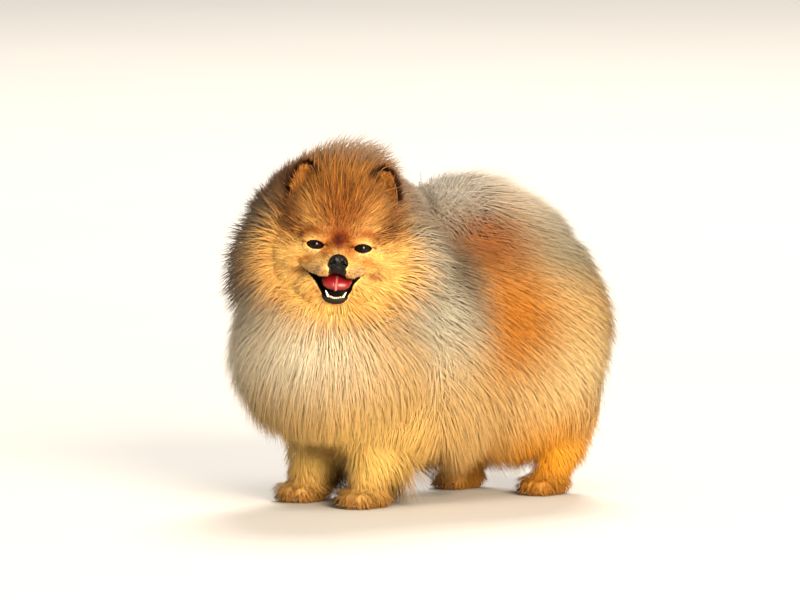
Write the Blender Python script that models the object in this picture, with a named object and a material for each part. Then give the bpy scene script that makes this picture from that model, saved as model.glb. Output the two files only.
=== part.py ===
"""A Pomeranian in full coat, standing with its head turned to its left and its mouth open, life size.

The dog faces -Y, its left side is +X and the floor is z = 0. All sizes are in metres.
The body is built around a few ellipsoids; the long coat grows on them as flat, tapered locks.
"""

import math
import random

import bmesh
import bpy
from mathutils import Euler, Matrix, Quaternion, Vector
from mathutils.bvhtree import BVHTree

# Driving sizes of the animal
GAP = 0.0004  # clearance that touching nodes keep
UP = Vector((0, 0, 1))

# Coat masses: centre, radii and turn in degrees of the surface that the tips of the locks reach
RUFF_MASSES = (
    ((0.000, -0.078, 0.190), (0.093, 0.086, 0.088), (12, 0, 0)),
    ((-0.008, -0.084, 0.226), (0.080, 0.078, 0.077), (0, 0, 0)),
    ((0.006, -0.098, 0.136), (0.090, 0.076, 0.090), (0, 0, 20)),
)
TORSO_MASSES = (
    ((0.000, -0.005, 0.141), (0.098, 0.100, 0.101), (0, 0, 0)),
    ((0.000, 0.080, 0.143), (0.104, 0.103, 0.108), (0, 0, 0)),
)
TAIL_MASSES = (
    ((0.004, 0.086, 0.212), (0.066, 0.068, 0.050), (-14, 0, 0)),
    ((0.004, 0.024, 0.230), (0.060, 0.072, 0.042), (-4, 0, 0)),
)
COAT_DEPTH = 0.026  # from the core that the long locks grow from to their tips
TAIL_DEPTH = 0.022
HEAD_DEPTH = 0.011

# Locks: length, width, thickness, and how steeply they leave the core and end, in degrees
RUFF_LOCK = (0.056, 0.029, 0.0060, 54, 4)
TORSO_LOCK = (0.060, 0.032, 0.0060, 48, 0)
TAIL_LOCK = (0.064, 0.028, 0.0056, 42, -8)
HEAD_LOCK = (0.026, 0.018, 0.0040, 38, 8)
LEG_LOCK = (0.040, 0.018, 0.0044, 34, 6)
LOCK_SINK = 0.007  # how far a lock's root sits in its core
LOCK_SPREAD = 0.14  # share by which the sizes of a lock vary
LOCK_STRAY = 16  # degrees by which a lock may turn from the lie of the coat
LOCK_ROLL = 14  # degrees by which it may roll about its own length
LOCK_WAVER = 4  # degrees by which each of its bends may vary
LOCK_DROOP = 0.10  # how far its end sinks under its own weight
UNDER_SHORTER = 0.45  # share of its length that a lock under the body loses
UNDER_HANG = 0.8  # how far a lock under the body turns straight down
# Steps along a lock: share of its bend, share of its length, half width and half thickness as shares
LOCK_STEPS = (
    (0.00, 0.00, 0.60, 0.45), (0.00, 0.30, 1.00, 0.60), (0.60, 0.38, 0.86, 0.45), (1.00, 0.32, 0.00, 0.00),
)

# How many places for locks each mass of a coat offers, and the seed that varies them
RUFF_PLACES, RUFF_SEED = (56, 42, 74), 2
TORSO_PLACES, TORSO_SEED = (56, 70), 3
TAIL_PLACES, TAIL_SEED = (24, 23), 5
HEAD_PLACES, HEAD_SEED = (22, 12), 11

# Head: the origin is midway between the eyes, and the face looks along its own -Y
HEAD_ORIGIN = Vector((0.050, -0.1227, 0.2195))
HEAD_TURN = math.radians(52)
HEAD_PITCH = math.radians(-4)
HEAD_ROLL = math.radians(5)
EYE_APART = 0.0395
EYE_RADIUS = 0.0088
EYE_SET_BACK = 0.0050
LID_THICKNESS = 0.0012
EYE_OPENING = (0.0066, 0.0040)  # half length and half height of the almond
EYE_SLANT = math.radians(8)

# Flesh of the head in its own frame: cranium, then the paired cheek, brow and upper lip
CRANIUM = ((0, 0.030, 0.014), (0.040, 0.037, 0.037))
CHEEK = ((0.0235, 0.026, -0.014), (0.0235, 0.024, 0.024))
BROW = ((0.012, 0.004, 0.009), (0.013, 0.012, 0.010))
UPPER_LIP = ((0.0072, -0.0185, -0.0180), (0.0090, 0.0098, 0.0062))
UPPER_LIP_TILT = 12
# Muzzle, jaw and tongue from back to front: place along Y, half width, top and bottom
MUZZLE_RINGS = (
    (0.022, 0.027, 0.004, -0.0245), (0.004, 0.0215, -0.0005, -0.0230), (-0.009, 0.0165, -0.0055, -0.0225),
    (-0.019, 0.0135, -0.0075, -0.0215), (-0.0260, 0.0100, -0.0090, -0.0200),
)
JAW_RINGS = (
    (0.026, 0.0200, -0.0190, -0.0400), (0.010, 0.0190, -0.0230, -0.0450), (-0.003, 0.0150, -0.0300, -0.0470),
    (-0.012, 0.0115, -0.0360, -0.0470), (-0.0175, 0.0070, -0.0385, -0.0450),
)
TONGUE_RINGS = (
    (0.020, 0.0085, -0.0270, -0.0330), (0.008, 0.0115, -0.0248, -0.0332), (-0.003, 0.0125, -0.0244, -0.0336),
    (-0.010, 0.0120, -0.0273, -0.0357), (-0.0140, 0.0075, -0.0324, -0.0376),
)
JAW_HOLLOW = ((0, 0.002, -0.0255), (0.0125, 0.0160, 0.0125), (-22, 0, 0))  # the room behind the lower teeth

# Nose: broad above and narrow below, with the nostril and the groove that are cut into it
NOSE_TOP = ((0, -0.0275, -0.0125), (0.0080, 0.0062, 0.0062))
NOSE_FOOT = ((0, -0.0265, -0.0165), (0.0050, 0.0050, 0.0050))
NOSTRIL = ((0.0036, -0.0333, -0.0128), (0.0016, 0.0030, 0.0021))
NOSTRIL_TILT = 25
NOSE_GROOVE = ((0, -0.0327, -0.0175), (0.0005, 0.0030, 0.0035))

# Lower teeth: where the middle of the row stands, its half width and its curve, then the canines
INCISORS = 6
INCISOR_ROW = Vector((0, -0.0145, -0.0410))
INCISOR_REACH, INCISOR_CURVE = 0.0042, 0.0022
INCISOR_FOOT, INCISOR_EDGE, INCISOR_HEIGHT = (0.0009, -0.0007, 0.0009), (0.0006, -0.0004, 0.0004), 0.0046
CANINE_FOOT = (0.0066, -0.0110, -0.0400)
CANINE_RINGS = ((0, 0.0013), (0.0035, 0.0010), (0.0065, 0.0004))  # rise and radius
CANINE_LEAN = (0.06, -0.05)

# Ears: a cup round part of a circle that narrows to its tip
EAR_BASE = (0.0290, 0.026, 0.036)
EAR_RISE = (0.10, -0.05, 1.0)
EAR_HEIGHT, EAR_HALF_WIDTH, EAR_WALL = 0.034, 0.0145, 0.0022
EAR_TURN = 0.35  # how far the cup faces outward, in radians
EAR_FROM, EAR_AROUND = -15, 210  # degrees that the wall goes round the cup
EAR_NARROWING = (2.2, 0.80)  # how late and how far the cup narrows
EAR_DEPTH = 0.75  # the cup's depth as a share of its half width
EAR_SHARES = (0.0, 0.3, 0.6, 0.85, 1.0)

# Where the coats part: the axis of the ruff's cone, and the saddle under the tail
RUFF_AXIS_HEIGHT = 0.141
RUFF_REAR = -0.026  # no lock of the ruff grows behind this
RUFF_ROOM_APEX = -0.058
# The cone behind the ruff, then the box round all in front of it: place along Y and radius
RUFF_ROOM_RINGS = (
    (-0.050, 0.030), (-0.040, 0.058), (-0.024, 0.078), (0.020, 0.098), (0.046, 0.125), (0.05, 0.30),
    (-0.40, 0.30),
)
# The funnel round the face in the head's own frame: place along Y, half width, top and bottom
HEAD_ROOM_APEX = (0, 0.084, 0.020)
HEAD_ROOM_RINGS = (
    (0.074, 0.030, 0.050, -0.022), (0.052, 0.050, 0.066, -0.042), (0.030, 0.064, 0.078, -0.054),
    (0.000, 0.082, 0.096, -0.060), (-0.050, 0.115, 0.130, -0.068), (-0.120, 0.180, 0.200, -0.080),
)
# No lock grows in front of the face, within this tapered room
FACE_ROOM_RINGS = ((0.034, 0.040, 0.044, -0.040), (-0.060, 0.050, 0.050, -0.060))
TAIL_ROOM_CENTRE = Vector((0.004, 0.062, 0.12))
TAIL_ROOM_RADII = (0.100, 0.135)
TAIL_ROOM_HEIGHT = 0.25
SADDLE_CENTRE = (0.0, 0.040, 0.120)
SADDLE_RADII = (0.105, 0.190, 0.094)

# Coat mass of the head in the head's own frame
HEAD_MASSES = (
    ((0, 0.046, 0.010), (0.056, 0.036, 0.050), (0, 0, 0)),
    ((0, 0.046, 0.034), (0.044, 0.034, 0.038), (0, 0, 0)),
)

# Legs: where each paw stands
PAWS = {
    "fore_left": Vector((0.0375, -0.086, 0)),
    "fore_right": Vector((-0.0360, -0.092, 0)),
    "hind_left": Vector((0.0425, 0.1007, 0)),
    "hind_right": Vector((-0.0425, 0.0770, 0)),
}
# Each leg from inside the coat down: height, how far behind the paw, half width and half depth
FORE_LEG = (
    (0.125, 0.012, 0.018, 0.024), (0.090, 0.010, 0.020, 0.024), (0.060, 0.008, 0.0185, 0.021),
    (0.035, 0.006, 0.0170, 0.0185), (0.012, 0.002, 0.0165, 0.0180),
)
HIND_LEG = (
    (0.125, 0.000, 0.020, 0.030), (0.095, 0.006, 0.025, 0.035), (0.070, 0.014, 0.0205, 0.026),
    (0.048, 0.016, 0.0155, 0.0185), (0.028, 0.010, 0.0150, 0.0165), (0.012, 0.004, 0.0155, 0.0170),
)
# Locks on a leg: the heights between which they grow, and the ways that they face in degrees from the side
FORE_FRINGE = ((0.04, 0.07), (20, 90, 160))
HIND_FRINGE = ((0.05, 0.10), (0, 60, 120, 180))
FRINGE_STRAY = 12
HIND_PAW_SIZE = 0.94  # against a fore paw
PAD_PLACE, PAD_RADII = Vector((0, 0.003, 0.009)), Vector((0.0175, 0.0220, 0.0145))
TOES = 4
TOE_SPREAD, TOE_FRONT, TOE_CURVE, TOE_HEIGHT = 0.0125, -0.0165, 0.0050, 0.0070
TOE_RADII = Vector((0.0062, 0.0100, 0.0092))
TOE_SPLAY = 10

HEAD_FRAME = Matrix.Translation(HEAD_ORIGIN) @ (
    Matrix.Rotation(HEAD_TURN, 4, "Z")
    @ Matrix.Rotation(HEAD_PITCH, 4, "X")
    @ Matrix.Rotation(HEAD_ROLL, 4, "Y")
)

# Colour and roughness of each kind of surface
COLOURS = {
    "coat_cream": ((0.78, 0.56, 0.30, 1), 0.85),
    "coat_orange": ((0.72, 0.40, 0.13, 1), 0.85),
    "coat_sable": ((0.50, 0.42, 0.32, 1), 0.85),
    "coat_silver": ((0.72, 0.68, 0.60, 1), 0.85),
    "eye_dark": ((0.02, 0.012, 0.01, 1), 0.08),
    "nose_black": ((0.02, 0.018, 0.018, 1), 0.40),
    "tongue_pink": ((0.62, 0.14, 0.16, 1), 0.35),
    "jaw_dark": ((0.10, 0.05, 0.03, 1), 0.55),
}
SHARP_ANGLE = math.radians(40)


def clear_scene():
    for old in list(bpy.data.objects):
        bpy.data.objects.remove(old, do_unlink=True)


def new_material(name, kind):
    """A material of one of the kinds in COLOURS, for one object."""
    colour, roughness = COLOURS[kind]
    material = bpy.data.materials.new(name + "_" + kind)
    material.use_nodes = True
    shader = material.node_tree.nodes["Principled BSDF"]
    shader.inputs["Base Color"].default_value = colour
    shader.inputs["Roughness"].default_value = roughness
    shader.inputs["Metallic"].default_value = 0.0
    return material


def mesh_object(name, bm):
    """An object made from a bmesh, with its faces pointing out."""
    bmesh.ops.recalc_face_normals(bm, faces=bm.faces)
    mesh = bpy.data.meshes.new(name)
    bm.to_mesh(mesh)
    bm.free()
    made = bpy.data.objects.new(name, mesh)
    bpy.context.scene.collection.objects.link(made)
    return made


def ellipsoid(centre, radii, grow=0.0, turn=(0, 0, 0), segments=14, rings=9, frame=None):
    """A closed ellipsoid. turn is in degrees about its own axes; frame places it, as on the head."""
    bm = bmesh.new()
    bmesh.ops.create_uvsphere(bm, u_segments=segments, v_segments=rings, radius=1.0)
    size = Matrix.Diagonal([r + grow for r in radii] + [1])
    tilt = Euler([math.radians(a) for a in turn]).to_matrix().to_4x4()
    place = (frame or Matrix.Identity(4)) @ Matrix.Translation(Vector(centre)) @ tilt @ size
    bmesh.ops.transform(bm, matrix=place, verts=bm.verts)
    return mesh_object("ellipsoid", bm)


def loft(rings, frame=None):
    """A closed solid through rings of the same number of points; a ring of one point is a tip.

    Each four-sided face is split along the same diagonal, so that a grown copy keeps the same shape.
    """
    bm = bmesh.new()
    place = frame or Matrix.Identity(4)
    rows = [[bm.verts.new(place @ Vector(p)) for p in ring] for ring in rings]
    for low, high in zip(rows, rows[1:]):
        count = max(len(low), len(high))
        for i in range(count):
            j = (i + 1) % count
            if len(low) > 1:
                bm.faces.new((low[i], low[j], high[j % len(high)]))
            if len(high) > 1:
                bm.faces.new((low[i % len(low)], high[j], high[i]))
    for row in (rows[0], rows[-1]):
        if len(row) > 1:
            bm.faces.new(row)
    return mesh_object("loft", bm)


def oval_ring(centre, half_x, half_y, sides=10, grow=0.0):
    """A level oval of points about centre."""
    turns = [2 * math.pi * i / sides for i in range(sides)]
    return [
        Vector(centre) + Vector(((half_x + grow) * math.cos(a), (half_y + grow) * math.sin(a), 0))
        for a in turns
    ]


def cross_ring(y, half_width, top, bottom, sides=14, grow=0.0):
    """An upright oval of points across the head's own Y, from its bottom to its top height."""
    mid, half = (top + bottom) / 2, (top - bottom) / 2 + grow
    turns = [2 * math.pi * i / sides for i in range(sides)]
    return [
        Vector(((half_width + grow) * math.cos(a), y, mid + half * math.sin(a)))
        for a in turns
    ]


def combine(target, others, operation):
    """Joins the other objects to the target, or cuts them from it, and removes them."""
    if not others:
        return target
    tools = bpy.data.collections.new("tools")
    bpy.context.scene.collection.children.link(tools)
    for other in others:
        bpy.context.scene.collection.objects.unlink(other)
        tools.objects.link(other)
    step = target.modifiers.new("step", "BOOLEAN")
    step.operand_type = "COLLECTION"
    step.collection = tools
    step.operation = operation
    step.solver = "MANIFOLD"
    graph = bpy.context.evaluated_depsgraph_get()
    mesh = bpy.data.meshes.new_from_object(target.evaluated_get(graph))
    target.modifiers.clear()
    target.data = mesh
    for other in others:
        bpy.data.objects.remove(other, do_unlink=True)
    bpy.data.collections.remove(tools)
    return target


def union(pieces):
    return combine(pieces[0], pieces[1:], "UNION")


def cut(target, cutters):
    return combine(target, cutters, "DIFFERENCE")


def keep_largest_surface(obj):
    """Drops the loose scraps and the sealed hollows that the joins and cuts leave."""
    bm = bmesh.new()
    bm.from_mesh(obj.data)
    bmesh.ops.triangulate(bm, faces=bm.faces)
    left, surfaces = set(bm.faces), []
    while left:
        front, surface = [left.pop()], []
        while front:
            face = front.pop()
            surface.append(face)
            for edge in face.edges:
                for other in edge.link_faces:
                    if other in left:
                        left.remove(other)
                        front.append(other)
        surfaces.append(surface)

    def volume(surface):
        corners = ([v.co for v in face.verts] for face in surface)
        return sum(a.dot(b.cross(c)) for a, b, c in corners) / 6

    surfaces.sort(key=volume)
    scraps = [face for surface in surfaces[:-1] for face in surface]
    bmesh.ops.delete(bm, geom=scraps, context="FACES")
    bm.to_mesh(obj.data)
    bm.free()
    return obj


def finish(obj, name, kind):
    """Leaves one closed surface, and gives the object its name and its own material."""
    keep_largest_surface(obj)
    obj.name = name
    obj.data.name = name
    obj.data.materials.clear()
    obj.data.materials.append(new_material(name, kind))
    obj.data.shade_smooth()
    obj.data.set_sharp_from_angle(angle=SHARP_ANGLE)
    return obj


def masses(parts, grow=0.0, frame=None, segments=14, rings=8):
    """The closed ellipsoids of one coat mass."""
    return [
        ellipsoid(centre, radii, grow, turn, segments, rings, frame)
        for centre, radii, turn in parts
    ]


def lock(root, normal, lie, sizes, rng, grow=0.0):
    """One flat, tapered lock with a ridge along its outer side, which bends over along the lie.

    A lock under the body is shorter and hangs. grow makes it thicker, and wider by more because its
    edges are sharp, as a cutter for a neighbour.
    """
    length, width, thickness, lift, end_lift = sizes
    length *= rng.uniform(1 - LOCK_SPREAD, 1 + LOCK_SPREAD) * (1 - UNDER_SHORTER * max(0.0, -normal.z))
    width *= rng.uniform(1 - LOCK_SPREAD, 1 + LOCK_SPREAD)
    along = lie - normal * lie.dot(normal)
    along = Quaternion(normal, math.radians(rng.uniform(-LOCK_STRAY, LOCK_STRAY))) @ along.normalized()
    side = normal.cross(along)
    side = Quaternion(along, math.radians(rng.uniform(-LOCK_ROLL, LOCK_ROLL))) @ side
    hang = UNDER_HANG * max(0.0, -normal.z)
    point = root.copy()
    rings = []
    for share, step, half_width, half_thick in LOCK_STEPS:
        angle = math.radians(lift + (end_lift - lift) * share + rng.uniform(-LOCK_WAVER, LOCK_WAVER))
        heading = along * math.cos(angle) + normal * math.sin(angle) - UP * (LOCK_DROOP * share)
        heading = heading.normalized().lerp(-UP, hang * share).normalized()
        if not rings:
            point -= heading * (LOCK_SINK + grow)
        elif len(rings) == 1:
            point += heading * (LOCK_SINK + grow)
        point += heading * (length * step)
        across = side * (half_width * width / 2 + 4 * grow)
        flat = heading.cross(side).normalized() * (half_thick * thickness + grow)
        if half_width:
            rings.append([point + across - flat, point + flat, point - across - flat])
        else:
            rings.append([point + heading * (3 * grow)])
    return loft(rings)


def surface_points(centre, radii, turn, count, frame=None):
    """Evenly spread points on an ellipsoid, each with the surface's outward normal."""
    place = (frame or Matrix.Identity(4)) @ Matrix.Translation(Vector(centre)) @ (
        Euler([math.radians(a) for a in turn]).to_matrix().to_4x4()
    )
    golden = math.pi * (3 - math.sqrt(5))
    found = []
    for i in range(count):
        z = 1 - 2 * (i + 0.5) / count
        flat = math.sqrt(1 - z * z)
        unit = Vector((flat * math.cos(golden * i), flat * math.sin(golden * i), z))
        point = Vector([u * r for u, r in zip(unit, radii)])
        normal = Vector([u / r for u, r in zip(unit, radii)])
        found.append((place @ point, (place.to_3x3() @ normal).normalized()))
    return found


def solid_tree(pieces):
    """One search tree for each closed piece, after which the pieces are removed."""
    trees = []
    for piece in pieces:
        bm = bmesh.new()
        bm.from_mesh(piece.data)
        trees.append(BVHTree.FromBMesh(bm))
        bm.free()
        bpy.data.objects.remove(piece, do_unlink=True)
    return trees


def is_inside(point, trees):
    """True where a ray from the point leaves one of the closed pieces an odd number of times."""
    ray = Vector((0.13, 0.21, 0.97)).normalized()
    for tree in trees:
        crossings, start = 0, point
        while True:
            found = tree.ray_cast(start, ray)[0]
            if found is None:
                break
            crossings += 1
            start = found + ray * 1e-6
        if crossings % 2:
            return True
    return False


def grow_locks(parts, depth, counts, lie_at, sizes, keep_out, seed, frame=None):
    """Locks over the cores of one coat, where their roots lie in no other core and in nothing of keep_out."""
    rng = random.Random(seed)
    locks = []
    for index, ((centre, radii, turn), count) in enumerate(zip(parts, counts)):
        rest = [part for i, part in enumerate(parts) if i != index]
        blocked = solid_tree(masses(rest, -depth, frame)) + keep_out
        core = [r - depth for r in radii]
        for root, normal in surface_points(centre, core, turn, count, frame):
            if not is_inside(root, blocked):
                locks.append(lock(root, normal, lie_at(root, normal), sizes, rng))
    return locks


def head_room(grow=0.0):
    """The room of the head and its coat: a funnel round the face that opens to the front."""
    rings = [[HEAD_FRAME @ (Vector(HEAD_ROOM_APEX) + Vector((0, grow, 0)))]]
    for y, half_width, top, bottom in HEAD_ROOM_RINGS:
        rings.append([HEAD_FRAME @ p for p in cross_ring(y + grow, half_width, top, bottom, 20, grow)])
    return [loft(rings)]


def ruff_room(grow=0.0):
    """The room of the ruff: all that lies in front of a cone that opens to the rear, behind the shoulders."""
    rings = [[Vector((0, RUFF_ROOM_APEX + grow, RUFF_AXIS_HEIGHT))]]
    for y, radius in RUFF_ROOM_RINGS:
        back = 2 * grow if y > -0.1 else -grow
        rings.append([
            Vector((radius * math.cos(a), y + back, RUFF_AXIS_HEIGHT + radius * math.sin(a)))
            for a in (2 * math.pi * k / 24 for k in range(24))
        ])
    return [loft(rings)]


def tail_room(grow=0.0):
    """The room of the tail: all that lies over the saddle of the back, within an oval."""
    oval = loft([
        oval_ring(TAIL_ROOM_CENTRE, TAIL_ROOM_RADII[0], TAIL_ROOM_RADII[1], 24, grow),
        oval_ring(TAIL_ROOM_CENTRE + UP * TAIL_ROOM_HEIGHT, TAIL_ROOM_RADII[0], TAIL_ROOM_RADII[1], 24, grow),
    ])
    return [cut(oval, [ellipsoid(SADDLE_CENTRE, SADDLE_RADII, -grow, segments=32, rings=24)])]


def keep_in(target, rooms):
    return combine(target, rooms, "INTERSECT")


# Head

def on_side(place, side):
    """A place given for the dog's left, on that side or mirrored to the other."""
    return (side * place[0], place[1], place[2])


def tube(rings, grow_back=0.0, grow=0.0, sides=14):
    """A closed solid through upright ovals of the head. grow makes it wider and moves its front out."""
    ends = [grow_back] + [0.0] * (len(rings) - 2) + [-grow]
    return loft([cross_ring(y + end, *size, sides, grow) for (y, *size), end in zip(rings, ends)], HEAD_FRAME)


def skull_pieces(grow=0.0):
    """The head's flesh and short coat: cranium, brows, cheeks, muzzle and upper lips."""
    pieces = [ellipsoid(*CRANIUM, grow, segments=18, rings=11, frame=HEAD_FRAME)]
    for side in (1, -1):
        pieces += [
            ellipsoid(on_side(CHEEK[0], side), CHEEK[1], grow, segments=12, frame=HEAD_FRAME),
            ellipsoid(on_side(BROW[0], side), BROW[1], grow, segments=10, rings=7, frame=HEAD_FRAME),
            ellipsoid(on_side(UPPER_LIP[0], side), UPPER_LIP[1], grow, (0, side * UPPER_LIP_TILT, 0),
                      segments=10, rings=7, frame=HEAD_FRAME),
            ellipsoid((side * EYE_APART / 2, EYE_SET_BACK, 0), [EYE_RADIUS + LID_THICKNESS] * 3, grow,
                      segments=12, rings=8, frame=HEAD_FRAME),
        ]
    return pieces + [tube(MUZZLE_RINGS, 0.0, grow)]


def almond(side):
    """A cutter for the opening between the lids: a lens that runs along the gaze."""
    half_length, half_height = EYE_OPENING
    steps = 8
    outline = []
    for i in range(steps):
        a = 2 * math.pi * i / steps
        narrow = abs(math.sin(a)) ** 0.5
        outline.append((half_length * math.cos(a), half_height * math.sin(a) * (0.6 + 0.4 * narrow)))
    slant = EYE_SLANT * -side
    rings = []
    for y in (-0.020, EYE_SET_BACK):
        ring = []
        for x, z in outline:
            across = side * EYE_APART / 2 + x * math.cos(slant) - z * math.sin(slant)
            ring.append((across, y, x * math.sin(slant) + z * math.cos(slant)))
        rings.append(ring)
    return loft(rings, HEAD_FRAME)


def head_lie(point, normal):
    """Hair runs from the nose back over the cheeks and the crown, away from the face."""
    place = HEAD_FRAME.inverted() @ point
    return HEAD_FRAME.to_3x3() @ Vector((1.2 * place.x, 0.030, 0.8 * (place.z - 0.005)))


def make_head():
    away = [tube(FACE_ROOM_RINGS)] + jaw_pieces() + ear_pieces(1) + ear_pieces(-1)
    locks = grow_locks(HEAD_MASSES, HEAD_DEPTH, HEAD_PLACES, head_lie, HEAD_LOCK, solid_tree(away), HEAD_SEED,
                       HEAD_FRAME)
    head = union(skull_pieces() + masses(HEAD_MASSES, -HEAD_DEPTH, HEAD_FRAME) + locks)
    keep_in(head, head_room())
    neighbours = ear_pieces(1, GAP) + ear_pieces(-1, GAP) + jaw_pieces(GAP) + tongue_pieces(GAP)
    cut(head, neighbours + nose_pieces(GAP))
    cutters = []
    for side in (1, -1):
        cutters.append(ellipsoid((side * EYE_APART / 2, EYE_SET_BACK, 0), [EYE_RADIUS] * 3, GAP,
                                 frame=HEAD_FRAME))
        cutters.append(almond(side))
    cut(head, cutters)
    finish(head, "head", "coat_orange")


def make_eyes():
    for name, side in (("eye_left", 1), ("eye_right", -1)):
        eye = ellipsoid((side * EYE_APART / 2, EYE_SET_BACK, 0), [EYE_RADIUS] * 3, segments=12, rings=7,
                        frame=HEAD_FRAME)
        finish(eye, name, "eye_dark")


def nose_pieces(grow=0.0):
    return [
        ellipsoid(*NOSE_TOP, grow, segments=12, rings=7, frame=HEAD_FRAME),
        ellipsoid(*NOSE_FOOT, grow, segments=8, rings=6, frame=HEAD_FRAME),
    ]


def make_nose():
    """The nose pad, with a comma-shaped nostril on each side of the groove."""
    nose = union(nose_pieces())
    nostrils = [
        ellipsoid(on_side(NOSTRIL[0], side), NOSTRIL[1], turn=(0, side * NOSTRIL_TILT, 0),
                  segments=8, rings=5, frame=HEAD_FRAME)
        for side in (1, -1)
    ]
    groove = ellipsoid(*NOSE_GROOVE, segments=6, rings=5, frame=HEAD_FRAME)
    cut(nose, nostrils + [groove])
    finish(nose, "nose", "nose_black")


def tongue_pieces(grow=0.0):
    """A broad tongue that rises from the throat and bends down to the lower front teeth."""
    return [tube(TONGUE_RINGS, grow, grow, 12)]


def jaw_pieces(grow=0.0):
    return [tube(JAW_RINGS, grow, grow)]


def tooth_pieces():
    """Six lower incisors and two canines on the front of the jaw."""
    teeth = []
    middle = (INCISORS - 1) / 2
    for i in range(INCISORS):
        along = (i - middle) / middle
        foot = INCISOR_ROW + Vector((INCISOR_REACH * along, INCISOR_CURVE * along**2, 0))
        rings = []
        for rise, (half, front, back) in ((0, INCISOR_FOOT), (INCISOR_HEIGHT, INCISOR_EDGE)):
            corners = ((-half, front, rise), (half, front, rise), (half, back, rise), (-half, back, rise))
            rings.append([foot + Vector(corner) for corner in corners])
        teeth.append(loft(rings, HEAD_FRAME))
    for side in (1, -1):
        foot = Vector(on_side(CANINE_FOOT, side))
        rings = []
        for rise, radius in CANINE_RINGS:
            lean = Vector((side * CANINE_LEAN[0] * rise, CANINE_LEAN[1] * rise, rise))
            rings.append([foot + lean + Vector((radius * math.cos(a), radius * math.sin(a), 0))
                          for a in (math.pi * k / 3 for k in range(6))])
        teeth.append(loft(rings, HEAD_FRAME))
    return teeth


def make_mouth():
    """The lower jaw with its teeth, and the tongue that lies in it."""
    jaw = jaw_pieces()[0]
    centre, radii, turn = JAW_HOLLOW
    cut(jaw, [ellipsoid(centre, radii, turn=turn, segments=10, rings=7, frame=HEAD_FRAME)])
    union([jaw] + tooth_pieces())
    cut(jaw, tongue_pieces(GAP))
    finish(jaw, "lower_jaw", "jaw_dark")
    finish(tongue_pieces()[0], "tongue", "tongue_pink")


def ear_pieces(side, grow=0.0):
    """A small upright ear: a cup that is open to the front and comes to a rounded tip."""
    rise = Vector(on_side(EAR_RISE, side)).normalized()
    wall = EAR_WALL + 2 * grow
    late, far = EAR_NARROWING
    rings = []
    for share in EAR_SHARES:
        spread = EAR_HALF_WIDTH * (1 - share**late * far) + grow
        middle = Vector(on_side(EAR_BASE, side)) + rise * (EAR_HEIGHT * share + grow * (2 * share - 1))
        arcs = []
        for radius, order in ((spread, 1), (max(spread - wall, spread * 0.35), -1)):
            steps = range(7)[::order]
            angles = [math.radians(EAR_FROM + EAR_AROUND * k / 6) + side * EAR_TURN for k in steps]
            arcs += [
                middle + Vector((radius * math.cos(a), EAR_DEPTH * radius * math.sin(a), 0)) for a in angles
            ]
        rings.append(arcs)
    return [loft(rings, HEAD_FRAME)]


def make_ears():
    for name, side in (("ear_left", 1), ("ear_right", -1)):
        finish(ear_pieces(side)[0], name, "coat_orange")


# Body

def is_fore(name):
    return name.startswith("fore")


def leg_pieces(name, grow=0.0):
    """One leg's column, from inside the coat down to the paw's top."""
    return [loft([
        oval_ring(PAWS[name] + Vector((0, back, z)), half_x, half_y, grow=grow)
        for z, back, half_x, half_y in (FORE_LEG if is_fore(name) else HIND_LEG)
    ])]


def paw_pieces(name, grow=0.0):
    """The paw's pad and its four toes, all resting on the floor."""
    size = 1.0 if is_fore(name) else HIND_PAW_SIZE
    pieces = [ellipsoid(PAWS[name] + PAD_PLACE, PAD_RADII * size, grow, segments=10, rings=6)]
    middle = (TOES - 1) / 2
    for i in range(TOES):
        across = (i - middle) / middle
        toe = Vector((TOE_SPREAD * across, TOE_FRONT + TOE_CURVE * across**2, TOE_HEIGHT)) * size
        pieces.append(ellipsoid(PAWS[name] + toe, TOE_RADII * size, grow, (0, 0, -TOE_SPLAY * across),
                                segments=7, rings=5))
    return pieces


def floor_cutter():
    bm = bmesh.new()
    bmesh.ops.create_cube(bm, size=1.0, matrix=Matrix.Translation((0, 0, -0.5)))
    return mesh_object("floor", bm)


def leg_locks(name, grow=0.0):
    """The fringe behind a fore leg, or the breeches behind a thigh and the sides of its top."""
    (lowest, highest), turns = FORE_FRINGE if is_fore(name) else HIND_FRINGE
    rng = random.Random(name)
    locks = []
    for z, back, half_x, half_y in (FORE_LEG if is_fore(name) else HIND_LEG):
        if not lowest < z < highest:
            continue
        for turn in turns:
            a = math.radians(turn + rng.uniform(-FRINGE_STRAY, FRINGE_STRAY))
            out = Vector((math.cos(a), math.sin(a), 0))
            root = PAWS[name] + Vector((half_x * out.x, back + half_y * out.y, z))
            locks.append(lock(root, out, Vector((0, 0.15, -1)), LEG_LOCK, rng, grow))
    return locks


def make_legs():
    for name in PAWS:
        paw = union(paw_pieces(name))
        cut(paw, [floor_cutter()])
        finish(paw, "paw_" + name, "coat_orange")
        leg = union(leg_pieces(name))
        cut(leg, paw_pieces(name, GAP))
        union([leg] + leg_locks(name))
        cut(leg, masses(RUFF_MASSES, GAP - COAT_DEPTH) + masses(TORSO_MASSES, GAP - COAT_DEPTH))
        finish(leg, "leg_" + name, "coat_orange")


def tail_lie(point, normal):
    """The plume fans out over the back, forward and to both sides."""
    return Vector((9 * (point.x - TAIL_MASSES[0][0][0]), -0.45, -0.10))


def make_tail():
    away = solid_tree(ruff_room())
    locks = grow_locks(TAIL_MASSES, TAIL_DEPTH, TAIL_PLACES, tail_lie, TAIL_LOCK, away, TAIL_SEED)
    tail = union(masses(TAIL_MASSES, -TAIL_DEPTH) + locks)
    keep_in(tail, tail_room())
    cut(tail, ruff_room(GAP))
    finish(tail, "tail", "coat_silver")


def leg_room(grow):
    return [piece for name in PAWS for piece in leg_pieces(name, grow)]


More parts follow.
